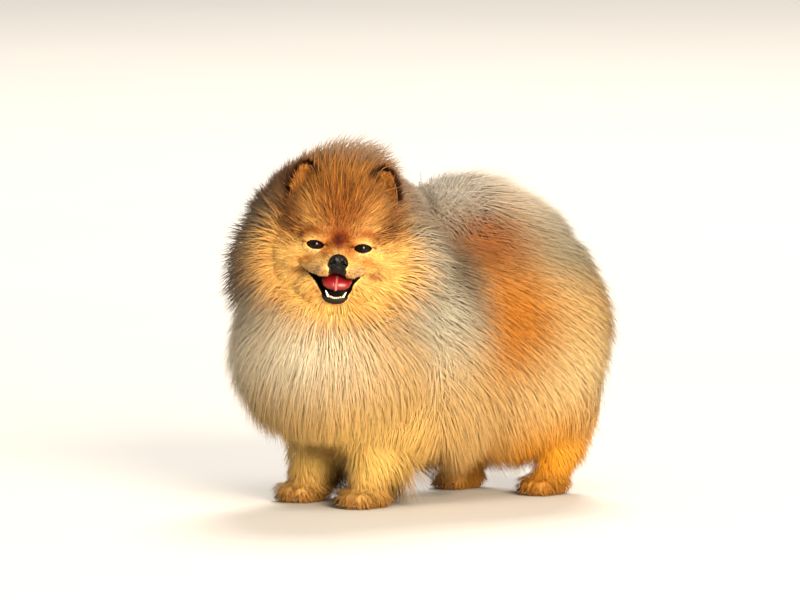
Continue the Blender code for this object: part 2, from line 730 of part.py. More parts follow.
def clear_of_legs(locks):
    """Fuses the locks of a coat and cuts them clear of the legs and their fringe."""
    fringe = [piece for name in PAWS for piece in leg_locks(name, 2 * GAP)]
    return cut(union(locks), leg_room(2 * GAP) + fringe)


def ruff_lie(point, normal):
    """The ruff stands out all round the face, and falls down the chest and back over the shoulders."""
    back = HEAD_FRAME.to_3x3() @ Vector((0, 1, 0))
    spoke = point - HEAD_FRAME @ Vector((0, 0.030, -0.010))
    spoke -= back * spoke.dot(back)
    fall = max(0.0, min(1.0, (0.160 - point.z) / 0.06))
    return spoke.normalized() + back * 0.35 + Vector((0, 0.50 * (1 - fall), -0.25 - 1.0 * fall))


def make_ruff():
    away = solid_tree(head_room(0.004) + leg_room(0.001))
    behind = loft([oval_ring((0, RUFF_REAR + 0.2, z), 0.3, 0.2) for z in (-0.1, 0.4)])
    locks = grow_locks(RUFF_MASSES, COAT_DEPTH, RUFF_PLACES, ruff_lie, RUFF_LOCK, away + solid_tree([behind]),
                       RUFF_SEED)
    ruff = union(masses(RUFF_MASSES, -COAT_DEPTH) + [clear_of_legs(locks)])
    keep_in(ruff, ruff_room())
    cut(ruff, head_room(GAP) + jaw_pieces(GAP))
    finish(ruff, "neck_ruff", "coat_cream")


def torso_lie(point, normal):
    """Hair runs back and down, and away from the spine."""
    fall = max(0.0, min(1.0, (0.120 - point.z) / 0.05))
    return Vector((3 * point.x, 0.85 - 0.4 * fall, -0.60 - 0.5 * fall))


def make_torso():
    away = solid_tree(ruff_room(0.002) + tail_room(0.002) + leg_room(0.001))
    locks = grow_locks(TORSO_MASSES, COAT_DEPTH, TORSO_PLACES, torso_lie, TORSO_LOCK, away, TORSO_SEED)
    torso = union(masses(TORSO_MASSES, -COAT_DEPTH) + [clear_of_legs(locks)])
    cut(torso, ruff_room(GAP) + tail_room(GAP))
    finish(torso, "torso", "coat_sable")


def centre_over_floor():
    """Moves the whole dog level, so that the middle of its box stands over the origin."""
    points = [v.co for obj in bpy.data.objects for v in obj.data.vertices]
    middle = [(min(p[i] for p in points) + max(p[i] for p in points)) / 2 for i in (0, 1)]
    for obj in bpy.data.objects:
        obj.data.transform(Matrix.Translation((-middle[0], -middle[1], 0)))


def main():
    clear_scene()
    make_head()
    make_eyes()
    make_nose()
    make_mouth()
    make_ears()
    make_legs()
    make_tail()
    make_ruff()
    make_torso()
    centre_over_floor()


main()
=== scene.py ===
"""A Pomeranian in full coat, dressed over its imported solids: skin, face, mouth, claws and the coat itself.

The dog faces -Y with its head turned to its left. Sizes are in metres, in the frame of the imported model.
"""

import math

import bpy
import numpy as np
from mathutils import Euler, Matrix, Vector


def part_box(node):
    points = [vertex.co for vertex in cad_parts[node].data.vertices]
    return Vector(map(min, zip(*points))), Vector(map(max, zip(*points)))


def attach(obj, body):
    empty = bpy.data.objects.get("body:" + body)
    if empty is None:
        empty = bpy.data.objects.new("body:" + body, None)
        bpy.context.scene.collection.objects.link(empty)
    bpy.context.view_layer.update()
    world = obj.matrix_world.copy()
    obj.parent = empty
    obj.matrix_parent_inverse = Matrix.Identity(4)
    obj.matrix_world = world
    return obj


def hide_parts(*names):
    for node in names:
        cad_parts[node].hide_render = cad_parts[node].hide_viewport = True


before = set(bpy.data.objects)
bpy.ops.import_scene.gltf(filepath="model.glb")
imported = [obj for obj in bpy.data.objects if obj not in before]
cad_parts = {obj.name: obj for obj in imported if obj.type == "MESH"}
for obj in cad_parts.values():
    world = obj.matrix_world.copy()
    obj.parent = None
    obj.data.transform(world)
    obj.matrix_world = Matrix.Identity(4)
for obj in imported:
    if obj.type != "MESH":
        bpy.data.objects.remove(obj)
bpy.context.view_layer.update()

# Driving sizes, as the solids have them, before the dog is centred over the floor
HEAD_ORIGIN = Vector((0.050, -0.1227, 0.2195))  # midway between the eyes
HEAD_TURN = math.radians(52)
HEAD_PITCH = math.radians(-4)
HEAD_ROLL = math.radians(5)
EYE_APART = 0.0395
EYE_RADIUS = 0.0088
EYE_SET_BACK = 0.0050

HEAD_TILT = (
    Matrix.Rotation(HEAD_TURN, 4, "Z") @ Matrix.Rotation(HEAD_PITCH, 4, "X") @ Matrix.Rotation(HEAD_ROLL, 4, "Y")
)
EYE_PLACE = Matrix.Translation(HEAD_ORIGIN) @ HEAD_TILT @ Vector((EYE_APART / 2, EYE_SET_BACK, 0))
HERE = (Vector(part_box("eye_left")[0]) + Vector(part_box("eye_left")[1])) / 2 - EYE_PLACE
HEAD_FRAME = Matrix.Translation(HEAD_ORIGIN + HERE) @ HEAD_TILT
BODY_FRAME = Matrix.Translation(HERE)
HEAD_AXES = np.array(HEAD_FRAME.to_3x3())
HEAD_AT = np.array(HEAD_FRAME.translation)
SHIFT = np.array(HERE)

# Flesh under the long coat: centre, radii and turn in degrees
RUFF_FLESH = (
    ((0.000, -0.078, 0.190), (0.067, 0.060, 0.062), (12, 0, 0)),
    ((-0.008, -0.084, 0.226), (0.054, 0.052, 0.051), (0, 0, 0)),
    ((0.002, -0.052, 0.232), (0.040, 0.034, 0.033), (0, 0, 0)),
    ((0.006, -0.098, 0.136), (0.064, 0.050, 0.064), (0, 0, 20)),
)
TORSO_FLESH = (
    ((0.000, -0.044, 0.082), (0.052, 0.038, 0.038), (0, 0, 0)),
    ((0.000, -0.005, 0.141), (0.072, 0.074, 0.075), (0, 0, 0)),
    ((0.000, 0.080, 0.143), (0.078, 0.077, 0.082), (0, 0, 0)),
)
TAIL_FLESH = (
    ((0.004, 0.080, 0.210), (0.046, 0.046, 0.026), (-18, 0, 0)),
    ((0.004, 0.024, 0.230), (0.038, 0.050, 0.020), (-4, 0, 0)),
)

# Paws: where each one stands, and the leg above it as height, set back, half width and half depth
PAWS = {
    "fore_left": Vector((0.0375, -0.086, 0)),
    "fore_right": Vector((-0.0360, -0.092, 0)),
    "hind_left": Vector((0.0425, 0.1007, 0)),
    "hind_right": Vector((-0.0425, 0.0770, 0)),
}
FORE_LEG = (
    (0.125, 0.012, 0.018, 0.024), (0.090, 0.010, 0.020, 0.024), (0.060, 0.008, 0.0185, 0.021),
    (0.035, 0.006, 0.0170, 0.0185), (0.012, 0.002, 0.0165, 0.0180),
)
HIND_LEG = (
    (0.125, 0.000, 0.020, 0.030), (0.095, 0.006, 0.025, 0.035), (0.070, 0.014, 0.0205, 0.026),
    (0.048, 0.016, 0.0155, 0.0185), (0.028, 0.010, 0.0150, 0.0165), (0.012, 0.004, 0.0155, 0.0170),
)
LEG_COAT = 0.0055
PAW_COAT = 0.0026

# Camera: where the photograph looks from, and how many of its pixels a metre takes
PHOTO_WIDTH, PHOTO_HEIGHT = 800, 600
PIXELS_PER_METRE = 1200
ORIGIN_PIXEL = (418.8, 497.5)  # where the point under the middle of the dog shows
VIEW_AZIMUTH = math.radians(52)
VIEW_ELEVATION = math.radians(5)
VIEW_DISTANCE = 12.0

DENSITY = 1.0
rng = np.random.default_rng(7)


def linear(*srgb):
    """A colour picked in the usual 0 to 255 steps, as the linear values that a shader takes."""
    return tuple((c / 255 / 12.92) if c <= 10 else ((c / 255 + 0.055) / 1.055) ** 2.4 for c in srgb)


# Shader maths

class Wire:
    """A socket, or a plain number, that Python expressions can combine."""

    def __init__(self, paint, socket):
        self.paint = paint
        self.socket = socket

    def maths(self, operation, other, turned=False):
        first, second = (other, self) if turned else (self, other)
        return self.paint.node("ShaderNodeMath", {"operation": operation}, [first, second])

    def __add__(self, other):
        return self.maths("ADD", other)

    __radd__ = __add__

    def __mul__(self, other):
        return self.maths("MULTIPLY", other)

    __rmul__ = __mul__

    def __sub__(self, other):
        return self.maths("SUBTRACT", other)

    def __rsub__(self, other):
        return self.maths("SUBTRACT", other, True)

    def __pow__(self, other):
        return self.maths("POWER", other)


class Paint:
    """One procedural material, built from expressions on wires."""

    def __init__(self, name, roughness=0.5, **constants):
        self.material = bpy.data.materials.new(name)
        self.material.use_nodes = True
        self.tree = self.material.node_tree
        self.shader = self.tree.nodes["Principled BSDF"]
        self.shader.inputs["Roughness"].default_value = roughness
        for socket, value in constants.items():
            self.shader.inputs[socket.replace("_", " ").title().replace("Ior", "IOR")].default_value = value

    def node(self, kind, settings=None, values=(), output=0):
        """Adds a node: its settings first, then the values or links of its sockets by number or name."""
        made = self.tree.nodes.new(kind)
        for name, value in (settings or {}).items():
            setattr(made, name, value)
        pairs = values.items() if isinstance(values, dict) else enumerate(values)
        for place, value in pairs:
            if isinstance(value, Wire):
                self.tree.links.new(value.socket, made.inputs[place])
            elif value is not None:
                made.inputs[place].default_value = value
        return Wire(self, made.outputs[output])

    def place(self, centre=(0, 0, 0), turn=(0, 0, 0), scale=(1, 1, 1)):
        """Object coordinates seen from a centre, turned and scaled."""
        here = self.node("ShaderNodeTexCoord", output="Object")
        moved = self.node("ShaderNodeVectorMath", {"operation": "SUBTRACT"}, [here, centre])
        turned = self.node("ShaderNodeVectorRotate", {"rotation_type": "EULER_XYZ", "invert": True},
                           {"Vector": moved, "Rotation": turn})
        return self.node("ShaderNodeVectorMath", {"operation": "MULTIPLY"}, [turned, scale])

    def noise(self, scale, detail=2.0, where=None):
        return self.node("ShaderNodeTexNoise", {},
                         {"Vector": where or self.place(), "Scale": scale, "Detail": detail})

    def ramp(self, factor, low, high):
        """0 below low, 1 above high, and smooth between."""
        return self.node("ShaderNodeMapRange", {"interpolation_type": "SMOOTHSTEP"},
                         {"Value": factor, "From Min": low, "From Max": high})

    def mix(self, factor, a, b, blend="MIX"):
        """Mixes two colours; a and b are wires or linear colours."""
        def solid(colour):
            return colour if isinstance(colour, Wire) else (*colour, 1)
        return self.node("ShaderNodeMix", {"data_type": "RGBA", "blend_type": blend},
                         {0: factor, 6: solid(a), 7: solid(b)}, output=2)

    def feed(self, socket, wire):
        self.tree.links.new(wire.socket, self.shader.inputs[socket])

    def let_through(self, colour, share):
        """Lets a share of the light shine through, as thin hair does."""
        glow = self.tree.nodes.new("ShaderNodeBsdfTranslucent")
        self.tree.links.new(colour.socket, glow.inputs["Color"])
        both = self.tree.nodes.new("ShaderNodeMixShader")
        both.inputs["Fac"].default_value = share
        self.tree.links.new(self.shader.outputs["BSDF"], both.inputs[1])
        self.tree.links.new(glow.outputs["BSDF"], both.inputs[2])
        self.tree.links.new(both.outputs["Shader"], self.tree.nodes["Material Output"].inputs["Surface"])

    def bump(self, height, distance, strength=1.0):
        raised = self.node("ShaderNodeBump", {}, {"Height": height, "Distance": distance, "Strength": strength})
        self.feed("Normal", raised)


def coat_paint():
    paint = Paint("coat", 0.7, specular_ior_level=0.12)
    tone = paint.node("ShaderNodeAttribute", {"attribute_name": "coat_tone"}, output="Color")
    streak = paint.noise(900, 2.0)
    light = paint.node("ShaderNodeVectorMath", {"operation": "SCALE"}, {0: tone, "Scale": 0.93 + 0.14 * streak})
    paint.feed("Base Color", light)
    paint.let_through(light, 0.42)
    return paint.material


def skin_paint():
    paint = Paint("skin", 0.62, specular_ior_level=0.3)
    tone = paint.node("ShaderNodeAttribute", {"attribute_name": "coat_tone"}, output="Color")
    nap = paint.noise(1400, 3.0)
    paint.feed("Base Color", paint.node("ShaderNodeVectorMath", {"operation": "SCALE"},
                                        {0: tone, "Scale": 0.7 + 0.5 * nap}))
    paint.bump(nap, 0.0004, 0.6)
    return paint.material


def eye_paint(name, side):
    """A dark brown iris round a black pupil, under a clear wet layer."""
    paint = Paint(name, 0.14, specular_ior_level=0.08, coat_weight=0.5, coat_roughness=0.04, coat_ior=1.3)
    centre = HEAD_FRAME @ Vector((side * EYE_APART / 2, EYE_SET_BACK, 0))
    place = paint.place(tuple(centre), tuple(HEAD_FRAME.to_euler()))
    across = paint.node("ShaderNodeSeparateXYZ", {}, [place])
    height = paint.node("ShaderNodeSeparateXYZ", {}, [place], output=2)
    reach = (across * across + height * height) ** 0.5
    fibre = paint.noise(900, 3.0, place)
    iris = paint.mix(fibre, linear(12, 7, 5), linear(28, 15, 9))
    dark = paint.mix(paint.ramp(reach, 0.0022, 0.0027), linear(3, 2, 2), iris)
    paint.feed("Base Color", paint.mix(paint.ramp(reach, 0.0050, 0.0060), dark, linear(8, 5, 4)))
    return paint.material


def rim_paint():
    paint = Paint("eye_rim", 0.38, coat_weight=0.4, coat_roughness=0.15)
    grain = paint.noise(1600, 3.0)
    paint.feed("Base Color", paint.mix(grain, linear(16, 10, 8), linear(44, 28, 22)))
    paint.bump(grain, 0.0001, 0.5)
    return paint.material


def nose_paint():
    paint = Paint("nose_leather", 0.36, coat_weight=0.08, coat_roughness=0.25, specular_ior_level=0.20)
    pebbles = paint.node("ShaderNodeTexVoronoi", {"feature": "F1"}, {"Vector": paint.place(), "Scale": 1500.0})
    grain = paint.noise(700, 3.0)
    paint.feed("Base Color", paint.mix(grain, linear(4, 3, 3), linear(13, 11, 11)))
    paint.feed("Roughness", 0.28 + 0.25 * grain)
    paint.bump(pebbles, 0.00022, 0.55)
    return paint.material


def tongue_paint():
    paint = Paint("tongue_wet", 0.36, coat_weight=0.2, coat_roughness=0.25, subsurface_weight=0.15,
                  subsurface_scale=0.002)
    papillae = paint.node("ShaderNodeTexVoronoi", {"feature": "F1"}, {"Vector": paint.place(), "Scale": 1400.0})
    flush = paint.noise(160, 3.0)
    across = paint.node("ShaderNodeSeparateXYZ", {}, [paint.place(
        tuple(HEAD_FRAME @ Vector((NOSE_SIDE, 0, 0))), tuple(HEAD_FRAME.to_euler()))])
    middle = paint.ramp(across * across, 0.0000010, 0.0000001)
    flesh = paint.mix(flush, linear(106, 9, 14), linear(134, 20, 26))
    paint.feed("Base Color", paint.mix(middle, flesh, linear(206, 120, 120)))
    paint.bump(papillae, 0.0002, 0.5)
    return paint.material


def tooth_paint():
    paint = Paint("tooth_enamel", 0.22, coat_weight=0.5, coat_roughness=0.1)
    stain = paint.noise(300, 3.0)
    paint.feed("Base Color", paint.mix(stain, linear(252, 244, 226), linear(236, 220, 190)))
    return paint.material


def claw_paint():
    paint = Paint("claw_horn", 0.34, coat_weight=0.3)
    band = paint.noise(600, 3.0)
    paint.feed("Base Color", paint.mix(band, linear(40, 30, 26), linear(84, 64, 50)))
    paint.bump(band, 0.0001, 0.4)
    return paint.material


def floor_paint():
    paint = Paint("studio_floor", 0.75)
    cloud = paint.noise(1.5, 3.0)
    paint.feed("Base Color", paint.mix(cloud, linear(186, 184, 180), linear(194, 192, 188)))
    return paint.material


# Modelling helpers

def lone(obj):
    """Selects one object and nothing else."""
    bpy.ops.object.select_all(action="DESELECT")
    obj.select_set(True)
    bpy.context.view_layer.objects.active = obj
    return obj


def shaped(obj, name, paint):
    lone(obj)
    obj.name = name
    obj.data.name = name
    obj.data.materials.clear()
    obj.data.materials.append(paint)
    bpy.ops.object.shade_smooth()
    return obj


def settle(obj, kind, **settings):
    """Adds a modifier and applies it."""
    lone(obj)
    step = obj.modifiers.new("step", kind)
    for name, value in settings.items():
        setattr(step, name, value)
    bpy.ops.object.modifier_apply(modifier=step.name)
    return obj


def joined(pieces):
    bpy.ops.object.select_all(action="DESELECT")
    for piece in pieces:
        piece.select_set(True)
    bpy.context.view_layer.objects.active = pieces[0]
    bpy.ops.object.join()
    return pieces[0]


def lump(centre, radii, turn=(0, 0, 0), place=HEAD_FRAME, segments=32, rings=16):
    """An ellipsoid at its place, as one closed mesh."""
    bpy.ops.object.select_all(action="DESELECT")
    bpy.ops.mesh.primitive_uv_sphere_add(segments=segments, ring_count=rings, radius=1)
    made = bpy.context.object
    tilt = Euler([math.radians(a) for a in turn]).to_matrix().to_4x4()
    made.data.transform(place @ Matrix.Translation(Vector(centre)) @ tilt @ Matrix.Diagonal([*radii, 1]))
    return made


def spike(foot, tip, radii, place=HEAD_FRAME, vertices=12):
    """A tapered peg from foot to tip, rounded at its end."""
    foot, tip = Vector(foot), Vector(tip)
    bpy.ops.object.select_all(action="DESELECT")
    bpy.ops.mesh.primitive_cone_add(vertices=vertices, radius1=radii[0], radius2=radii[1], depth=(tip - foot).length)
    made = bpy.context.object
    turn = (tip - foot).to_track_quat("Z", "Y").to_matrix().to_4x4()
    made.data.transform(place @ Matrix.Translation((foot + tip) / 2) @ turn)
    return made


def carve(target, cutters):
    for cutter in cutters:
        settle(target, "BOOLEAN", operation="DIFFERENCE", solver="EXACT", object=cutter)
        bpy.data.objects.remove(cutter, do_unlink=True)
    return target


def points_of(obj):
    co = np.empty(len(obj.data.vertices) * 3, np.float32)
    obj.data.vertices.foreach_get("co", co)
    return co.reshape(-1, 3).astype(float)


def move_points(obj, co):
    obj.data.vertices.foreach_set("co", co.astype(np.float32).ravel())
    obj.data.update()


def to_head(points):
    return (points - HEAD_AT) @ HEAD_AXES


def from_head(points):
    return points @ HEAD_AXES.T + HEAD_AT


def unit(vectors):
    return vectors / np.maximum(np.linalg.norm(vectors, axis=-1, keepdims=True), 1e-9)


def smooth_step(value, low, high):
    share = np.clip((value - low) / (high - low), 0, 1)
    return share * share * (3 - 2 * share)


# Mouth opening between the upper lips and the lower lip, in the head's own X and Z
MOUTH_TOP = ((0.0275, -0.0198), (0.0200, -0.0230), (0.0125, -0.0246), (0.0, -0.0232))
MOUTH_BOTTOM = ((0.0215, -0.0246), (0.0168, -0.0296), (0.0128, -0.0356), (0.0094, -0.0412), (0.0, -0.0430))
MOUTH_SHORTER = 0.86  # the corner on the dog's left opens less


def mouth_outline():
    """The opening as a closed loop, from the middle of the lower lip round through both corners."""
    right = [(-x, z) for x, z in reversed(MOUTH_BOTTOM)] + [(-x, z) for x, z in MOUTH_TOP]
    left = [(x * MOUTH_SHORTER if x > 0.013 else x, z) for x, z in list(reversed(MOUTH_TOP[:-1])) + list(MOUTH_BOTTOM[:-1])]
    return right + left


def mouth_cutter():
    """A wedge of room inside the mouth, which narrows to the throat."""
    outline = mouth_outline()
    bpy.ops.object.select_all(action="DESELECT")
    bpy.ops.mesh.primitive_circle_add(vertices=len(outline), radius=1, fill_type="NGON")
    made = bpy.context.object
    for vertex, (x, z) in zip(made.data.vertices, outline):
        vertex.co = (x, -0.050, z)
    bpy.ops.object.mode_set(mode="EDIT")
    bpy.ops.mesh.select_all(action="SELECT")
    for depth, size in ((0.050, 1.0), (0.008, 0.86), (0.008, 0.75)):
        bpy.ops.mesh.extrude_region_move(TRANSFORM_OT_translate={"value": (0, depth, 0)})
        bpy.ops.transform.resize(value=(size, 1, size), center_override=(0, 0, -0.0285))
    bpy.ops.mesh.select_all(action="SELECT")
    bpy.ops.mesh.normals_make_consistent(inside=False)
    bpy.ops.object.mode_set(mode="OBJECT")
    made.data.transform(HEAD_FRAME)
    return made


EYE_HALF_LENGTH = 0.0075
EYE_HALF_HEIGHT = 0.0038
EYE_SLANT = math.radians(4)


def almond(side, size=1.0, count=28):
    """The line of the lids in the head's own X and Z, about the eye's centre."""
    loop = []
    for i in range(count):
        a = 2 * math.pi * i / count
        x = size * EYE_HALF_LENGTH * math.cos(a)
        z = size * EYE_HALF_HEIGHT * math.sin(a) * (0.62 + 0.38 * math.sqrt(abs(math.sin(a))))
        slant = side * EYE_SLANT
        loop.append((x * math.cos(slant) - z * math.sin(slant), x * math.sin(slant) + z * math.cos(slant)))
    return loop


def almond_cutter(side):
    loop = almond(side)
    bpy.ops.object.select_all(action="DESELECT")
    bpy.ops.mesh.primitive_circle_add(vertices=len(loop), radius=1, fill_type="NGON")
    made = bpy.context.object
    for vertex, (x, z) in zip(made.data.vertices, loop):
        vertex.co = (side * EYE_APART / 2 + x, -0.020, z)
    bpy.ops.object.mode_set(mode="EDIT")
    bpy.ops.mesh.select_all(action="SELECT")
    bpy.ops.mesh.extrude_region_move(TRANSFORM_OT_translate={"value": (0, 0.020 + EYE_SET_BACK, 0)})
    bpy.ops.mesh.select_all(action="SELECT")
    bpy.ops.mesh.normals_make_consistent(inside=False)
    bpy.ops.object.mode_set(mode="OBJECT")
    made.data.transform(HEAD_FRAME)
    return made


# Skin

def head_lumps():
    lumps = [
        ((0, 0.030, 0.014), (0.038, 0.036, 0.036), (0, 0, 0)),
        ((0, 0.046, 0.018), (0.045, 0.028, 0.048), (0, 0, 0)),
        ((0, 0.006, -0.0115), (0.0205, 0.022, 0.0120), (0, 0, 0)),
        ((0, -0.010, -0.0140), (0.0140, 0.0155, 0.0085), (0, 0, 0)),
        ((0, 0.006, 0.0040), (0.0120, 0.0120, 0.0090), (0, 0, 0)),
        ((0, 0.014, -0.0330), (0.0185, 0.0200, 0.0120), (0, 0, 0)),
        ((0, 0.000, -0.0385), (0.0155, 0.0160, 0.0085), (0, 0, 0)),
        ((0, -0.0085, -0.0430), (0.0122, 0.0098, 0.0054), (0, 0, 0)),
        ((0, 0.026, -0.0560), (0.0420, 0.0260, 0.0280), (0, 0, 0)),
    ]
    for side in (1, -1):
        lumps += [
            ((side * 0.0235, 0.026, -0.014), (0.0225, 0.023, 0.023), (0, 0, 0)),
            ((side * 0.0420, 0.044, -0.020), (0.0260, 0.022, 0.036), (0, 0, 0)),
            ((side * 0.0120, 0.004, 0.0085), (0.0125, 0.0115, 0.0090), (0, 0, 0)),
            ((side * EYE_APART / 2, EYE_SET_BACK + 0.0008, 0), (0.0120, 0.0112, 0.0114), (0, 0, 0)),
            ((side * 0.0080, -0.0165, -0.0185), (0.0092, 0.0112, 0.0060), (0, side * 12, 0)),
            ((side * 0.0125, -0.0095, -0.0178), (0.0104, 0.0130, 0.0070), (0, 0, side * -18)),
            ((side * 0.0260, 0.0140, -0.0100), (0.0160, 0.0140, 0.0170), (0, 0, 0)),
            ((side * 0.0160, -0.0010, -0.0180), (0.0115, 0.0150, 0.0072), (0, side * -14, side * -28)),
            ((side * 0.0160, 0.0060, -0.0300), (0.0095, 0.0130, 0.0130), (0, side * 30, 0)),
        ]
    return [lump(*form) for form in lumps]


def make_head_skin():
    head = settle(joined(head_lumps()), "REMESH", mode="VOXEL", voxel_size=0.0011)
    settle(head, "SMOOTH", factor=0.5, iterations=16)
    cutters = [mouth_cutter()]
    for side in (1, -1):
        cutters.append(lump((side * EYE_APART / 2, EYE_SET_BACK, 0), [EYE_RADIUS + 0.0003] * 3))
        cutters.append(almond_cutter(side))
    carve(head, cutters)
    settle(head, "REMESH", mode="VOXEL", voxel_size=0.0008)
    settle(head, "SMOOTH", factor=0.5, iterations=2)
    return head


def leg_rings(name):
    return FORE_LEG if name.startswith("fore") else HIND_LEG


def leg_lumps(name):
    """Balls set close along the leg, which the remesh turns into one limb."""
    rings = leg_rings(name)
    lumps = []
    for low, high in zip(rings, rings[1:]):
        for share in (0, 0.25, 0.5, 0.75):
            z, back, half_x, half_y = (a + (b - a) * share for a, b in zip(low, high))
            lumps.append(lump(
                PAWS[name] + Vector((0, back, z)), (half_x - LEG_COAT, half_y - LEG_COAT, 0.012), (0, 0, 0),
                BODY_FRAME, 16, 8,
            ))
    return lumps


def toe_places(name):
    size = 1.0 if name.startswith("fore") else 0.94
    for i in range(4):
        across = (i - 1.5) / 1.5
        yield across, PAWS[name] + Vector((0.0125 * across, -0.0165 + 0.0050 * across**2, 0.0070)) * size, size


def paw_lumps(name):
    size = 1.0 if name.startswith("fore") else 0.94
    pad = [r * size - PAW_COAT for r in (0.0175, 0.0220, 0.0145)]
    lumps = [lump(PAWS[name] + Vector((0, 0.003, 0.009)), pad, (0, 0, 0), BODY_FRAME)]
    for across, toe, size in toe_places(name):
        radii = [r * size - 0.6 * PAW_COAT for r in (0.0062, 0.0100, 0.0092)]
        lumps.append(lump(toe, radii, (0, 0, -10 * across), BODY_FRAME, 24, 12))
    return lumps


def make_skin(paint):
    """One closed skin over the whole dog, finer on the head."""
    flesh = [lump(*form, BODY_FRAME) for form in RUFF_FLESH + TORSO_FLESH + TAIL_FLESH]
    for name in PAWS:
        flesh += leg_lumps(name) + paw_lumps(name)
    body = settle(joined(flesh), "REMESH", mode="VOXEL", voxel_size=0.0024)
    settle(body, "SMOOTH", factor=0.5, iterations=5)
    co = points_of(body)
    co[:, 2] = np.maximum(co[:, 2], 0.0006)
    move_points(body, co)
    head = make_head_skin()
    settle(body, "BOOLEAN", operation="UNION", solver="EXACT", object=head)
    bpy.data.objects.remove(head, do_unlink=True)
    settle(body, "TRIANGULATE")
    set_tone(body, skin_tone(points_of(body)))
    return shaped(body, "skin", paint)


# Markings and a little painted shade: centre and reach of each soft patch on the body, mirrored from side to side, with
# its colour and strength
BASE_COAT = linear(222, 182, 120)
BODY_PATCHES = (
    ((0.070, -0.010, 0.085), (0.090, 0.070, 0.034), linear(222, 184, 124), 0.90),
    ((0.080, 0.125, 0.095), (0.090, 0.085, 0.055), linear(248, 220, 164), 0.90),
    # Painted shade: the back edge of the rump, greyer and darker where it turns away from the light
    ((0.060, 0.172, 0.135), (0.080, 0.044, 0.072), linear(136, 118, 94), 0.90),
    ((0.060, 0.120, 0.220), (0.100, 0.080, 0.046), linear(156, 152, 134), 0.95),
    ((0.085, -0.036, 0.180), (0.060, 0.040, 0.074), linear(206, 202, 184), 0.95),
    ((0.100, 0.034, 0.156), (0.054, 0.036, 0.062), linear(198, 120, 22), 0.92),
    ((0.085, -0.010, 0.204), (0.050, 0.020, 0.046), linear(112, 104, 88), 0.90),
    ((0.020, -0.140, 0.125), (0.075, 0.070, 0.042), linear(255, 244, 218), 0.95),
    ((0.000, -0.120, 0.070), (0.100, 0.080, 0.030), linear(212, 176, 112), 0.90),
    ((0.000, -0.080, 0.280), (0.150, 0.120, 0.062), linear(101, 77, 58), 0.95),
    ((0.000, 0.070, 0.270), (0.120, 0.110, 0.044), linear(214, 206, 192), 0.95),
    ((0.072, 0.030, 0.216), (0.056, 0.034, 0.028), linear(144, 76, 22), 0.88),
    ((0.040, -0.080, 0.030), (0.060, 0.060, 0.060), linear(255, 213, 124), 0.90),
    ((0.040, 0.100, 0.030), (0.060, 0.050, 0.052), linear(255, 174, 34), 0.90),
    ((0.040, 0.000, 0.000), (0.100, 0.300, 0.020), linear(152, 98, 34), 0.85),
)
BEHIND_MANE = 4  # patches from here on lie over the mane's own colour
# The same on the head, in its own frame
# The outer mane's colour: partly its own grey sable, partly painted shade that makes it darker than the lit mane
MANE_COAT_AND_SHADE = linear(140, 126, 106)
FACE_COAT = linear(255, 197, 114)
HEAD_PATCHES = (
    ((0.000, 0.040, 0.092), (0.060, 0.080, 0.020), linear(168, 148, 124), 0.90),
    ((0.000, 0.020, 0.050), (0.048, 0.080, 0.030), linear(144, 86, 24), 0.95),
    ((0.000, 0.010, 0.064), (0.036, 0.080, 0.009), linear(182, 126, 56), 0.80),
    ((0.000, 0.000, 0.026), (0.026, 0.040, 0.018), linear(130, 62, 6), 0.85),
    ((0.042, 0.020, 0.021), (0.013, 0.060, 0.021), linear(92, 34, 6), 0.85),
    ((0.033, 0.000, 0.0080), (0.0070, 0.020, 0.0050), linear(116, 58, 18), 0.85),
    # Painted shadow: a dark brown strip along the crease where the face ring meets the shoulder, on both sides
    ((0.082, 0.060, -0.040), (0.004, 0.080, 0.018), linear(120, 84, 44), 0.60),
    ((0.000, -0.006, 0.0070), (0.0140, 0.016, 0.0100), linear(170, 74, 14), 0.85),
    ((0.000, -0.006, 0.0055), (0.0072, 0.016, 0.0080), linear(76, 10, 0), 0.95),
    ((0.0105, -0.010, -0.0030), (0.0060, 0.020, 0.0080), linear(184, 98, 30), 0.75),
    ((0.0110, -0.004, 0.0006), (0.0030, 0.014, 0.0012), linear(50, 24, 12), 0.85),
    ((0.0290, 0.000, 0.0016), (0.0034, 0.014, 0.0012), linear(80, 40, 16), 0.80),
    ((0.0215, 0.000, 0.0120), (0.0120, 0.016, 0.0044), linear(142, 64, 10), 0.85),
    ((0.0210, -0.004, 0.0060), (0.0085, 0.012, 0.0014), linear(218, 162, 96), 0.80),
    ((0.0215, -0.004, -0.0062), (0.0080, 0.010, 0.0016), linear(250, 200, 140), 0.70),
    ((0.0250, 0.000, -0.0125), (0.0110, 0.016, 0.0036), linear(200, 112, 40), 0.70),
    ((0.0150, -0.018, -0.0200), (0.0090, 0.016, 0.0050), linear(206, 166, 124), 0.90),
    ((0.0310, 0.010, -0.0220), (0.0080, 0.014, 0.0040), linear(120, 60, 24), 0.80),
    ((0.0170, 0.006, -0.0400), (0.0060, 0.016, 0.0100), linear(206, 118, 44), 0.60),
)
# Where the hairs end in dark tips, in the same two frames
BODY_TIPS = (
    ((0.080, -0.030, 0.205), (0.060, 0.046, 0.050), 0.55),
)
HEAD_TIPS = (
    ((0.000, 0.020, 0.050), (0.060, 0.060, 0.030), 0.55),
    ((0.046, 0.030, 0.018), (0.018, 0.050, 0.024), 0.70),
)
TIP_DARK = linear(74, 50, 32)


def weight_of(points, centre, reach):
    """1 at the centre of a soft patch, a third at its reach, and little beyond."""
    mirrored = points.copy()
    mirrored[:, 0] = np.abs(mirrored[:, 0])
    return np.exp(-(((mirrored - centre) / reach) ** 2).sum(1) ** 1.5)


def face_zone(place):
    """1 over the face and its bright ring, 0 over the outer mane and the body."""
    below = np.where(place[:, 2] < 0, 0.080, 0.062)
    wide = 0.073 + 0.018 * smooth_step(-place[:, 2], -0.030, 0.030)
    reach = np.hypot(place[:, 0] / wide, place[:, 2] / below)
    return smooth_step(-reach, -1.0, -0.68) * smooth_step(-place[:, 1], -0.118, -0.085)


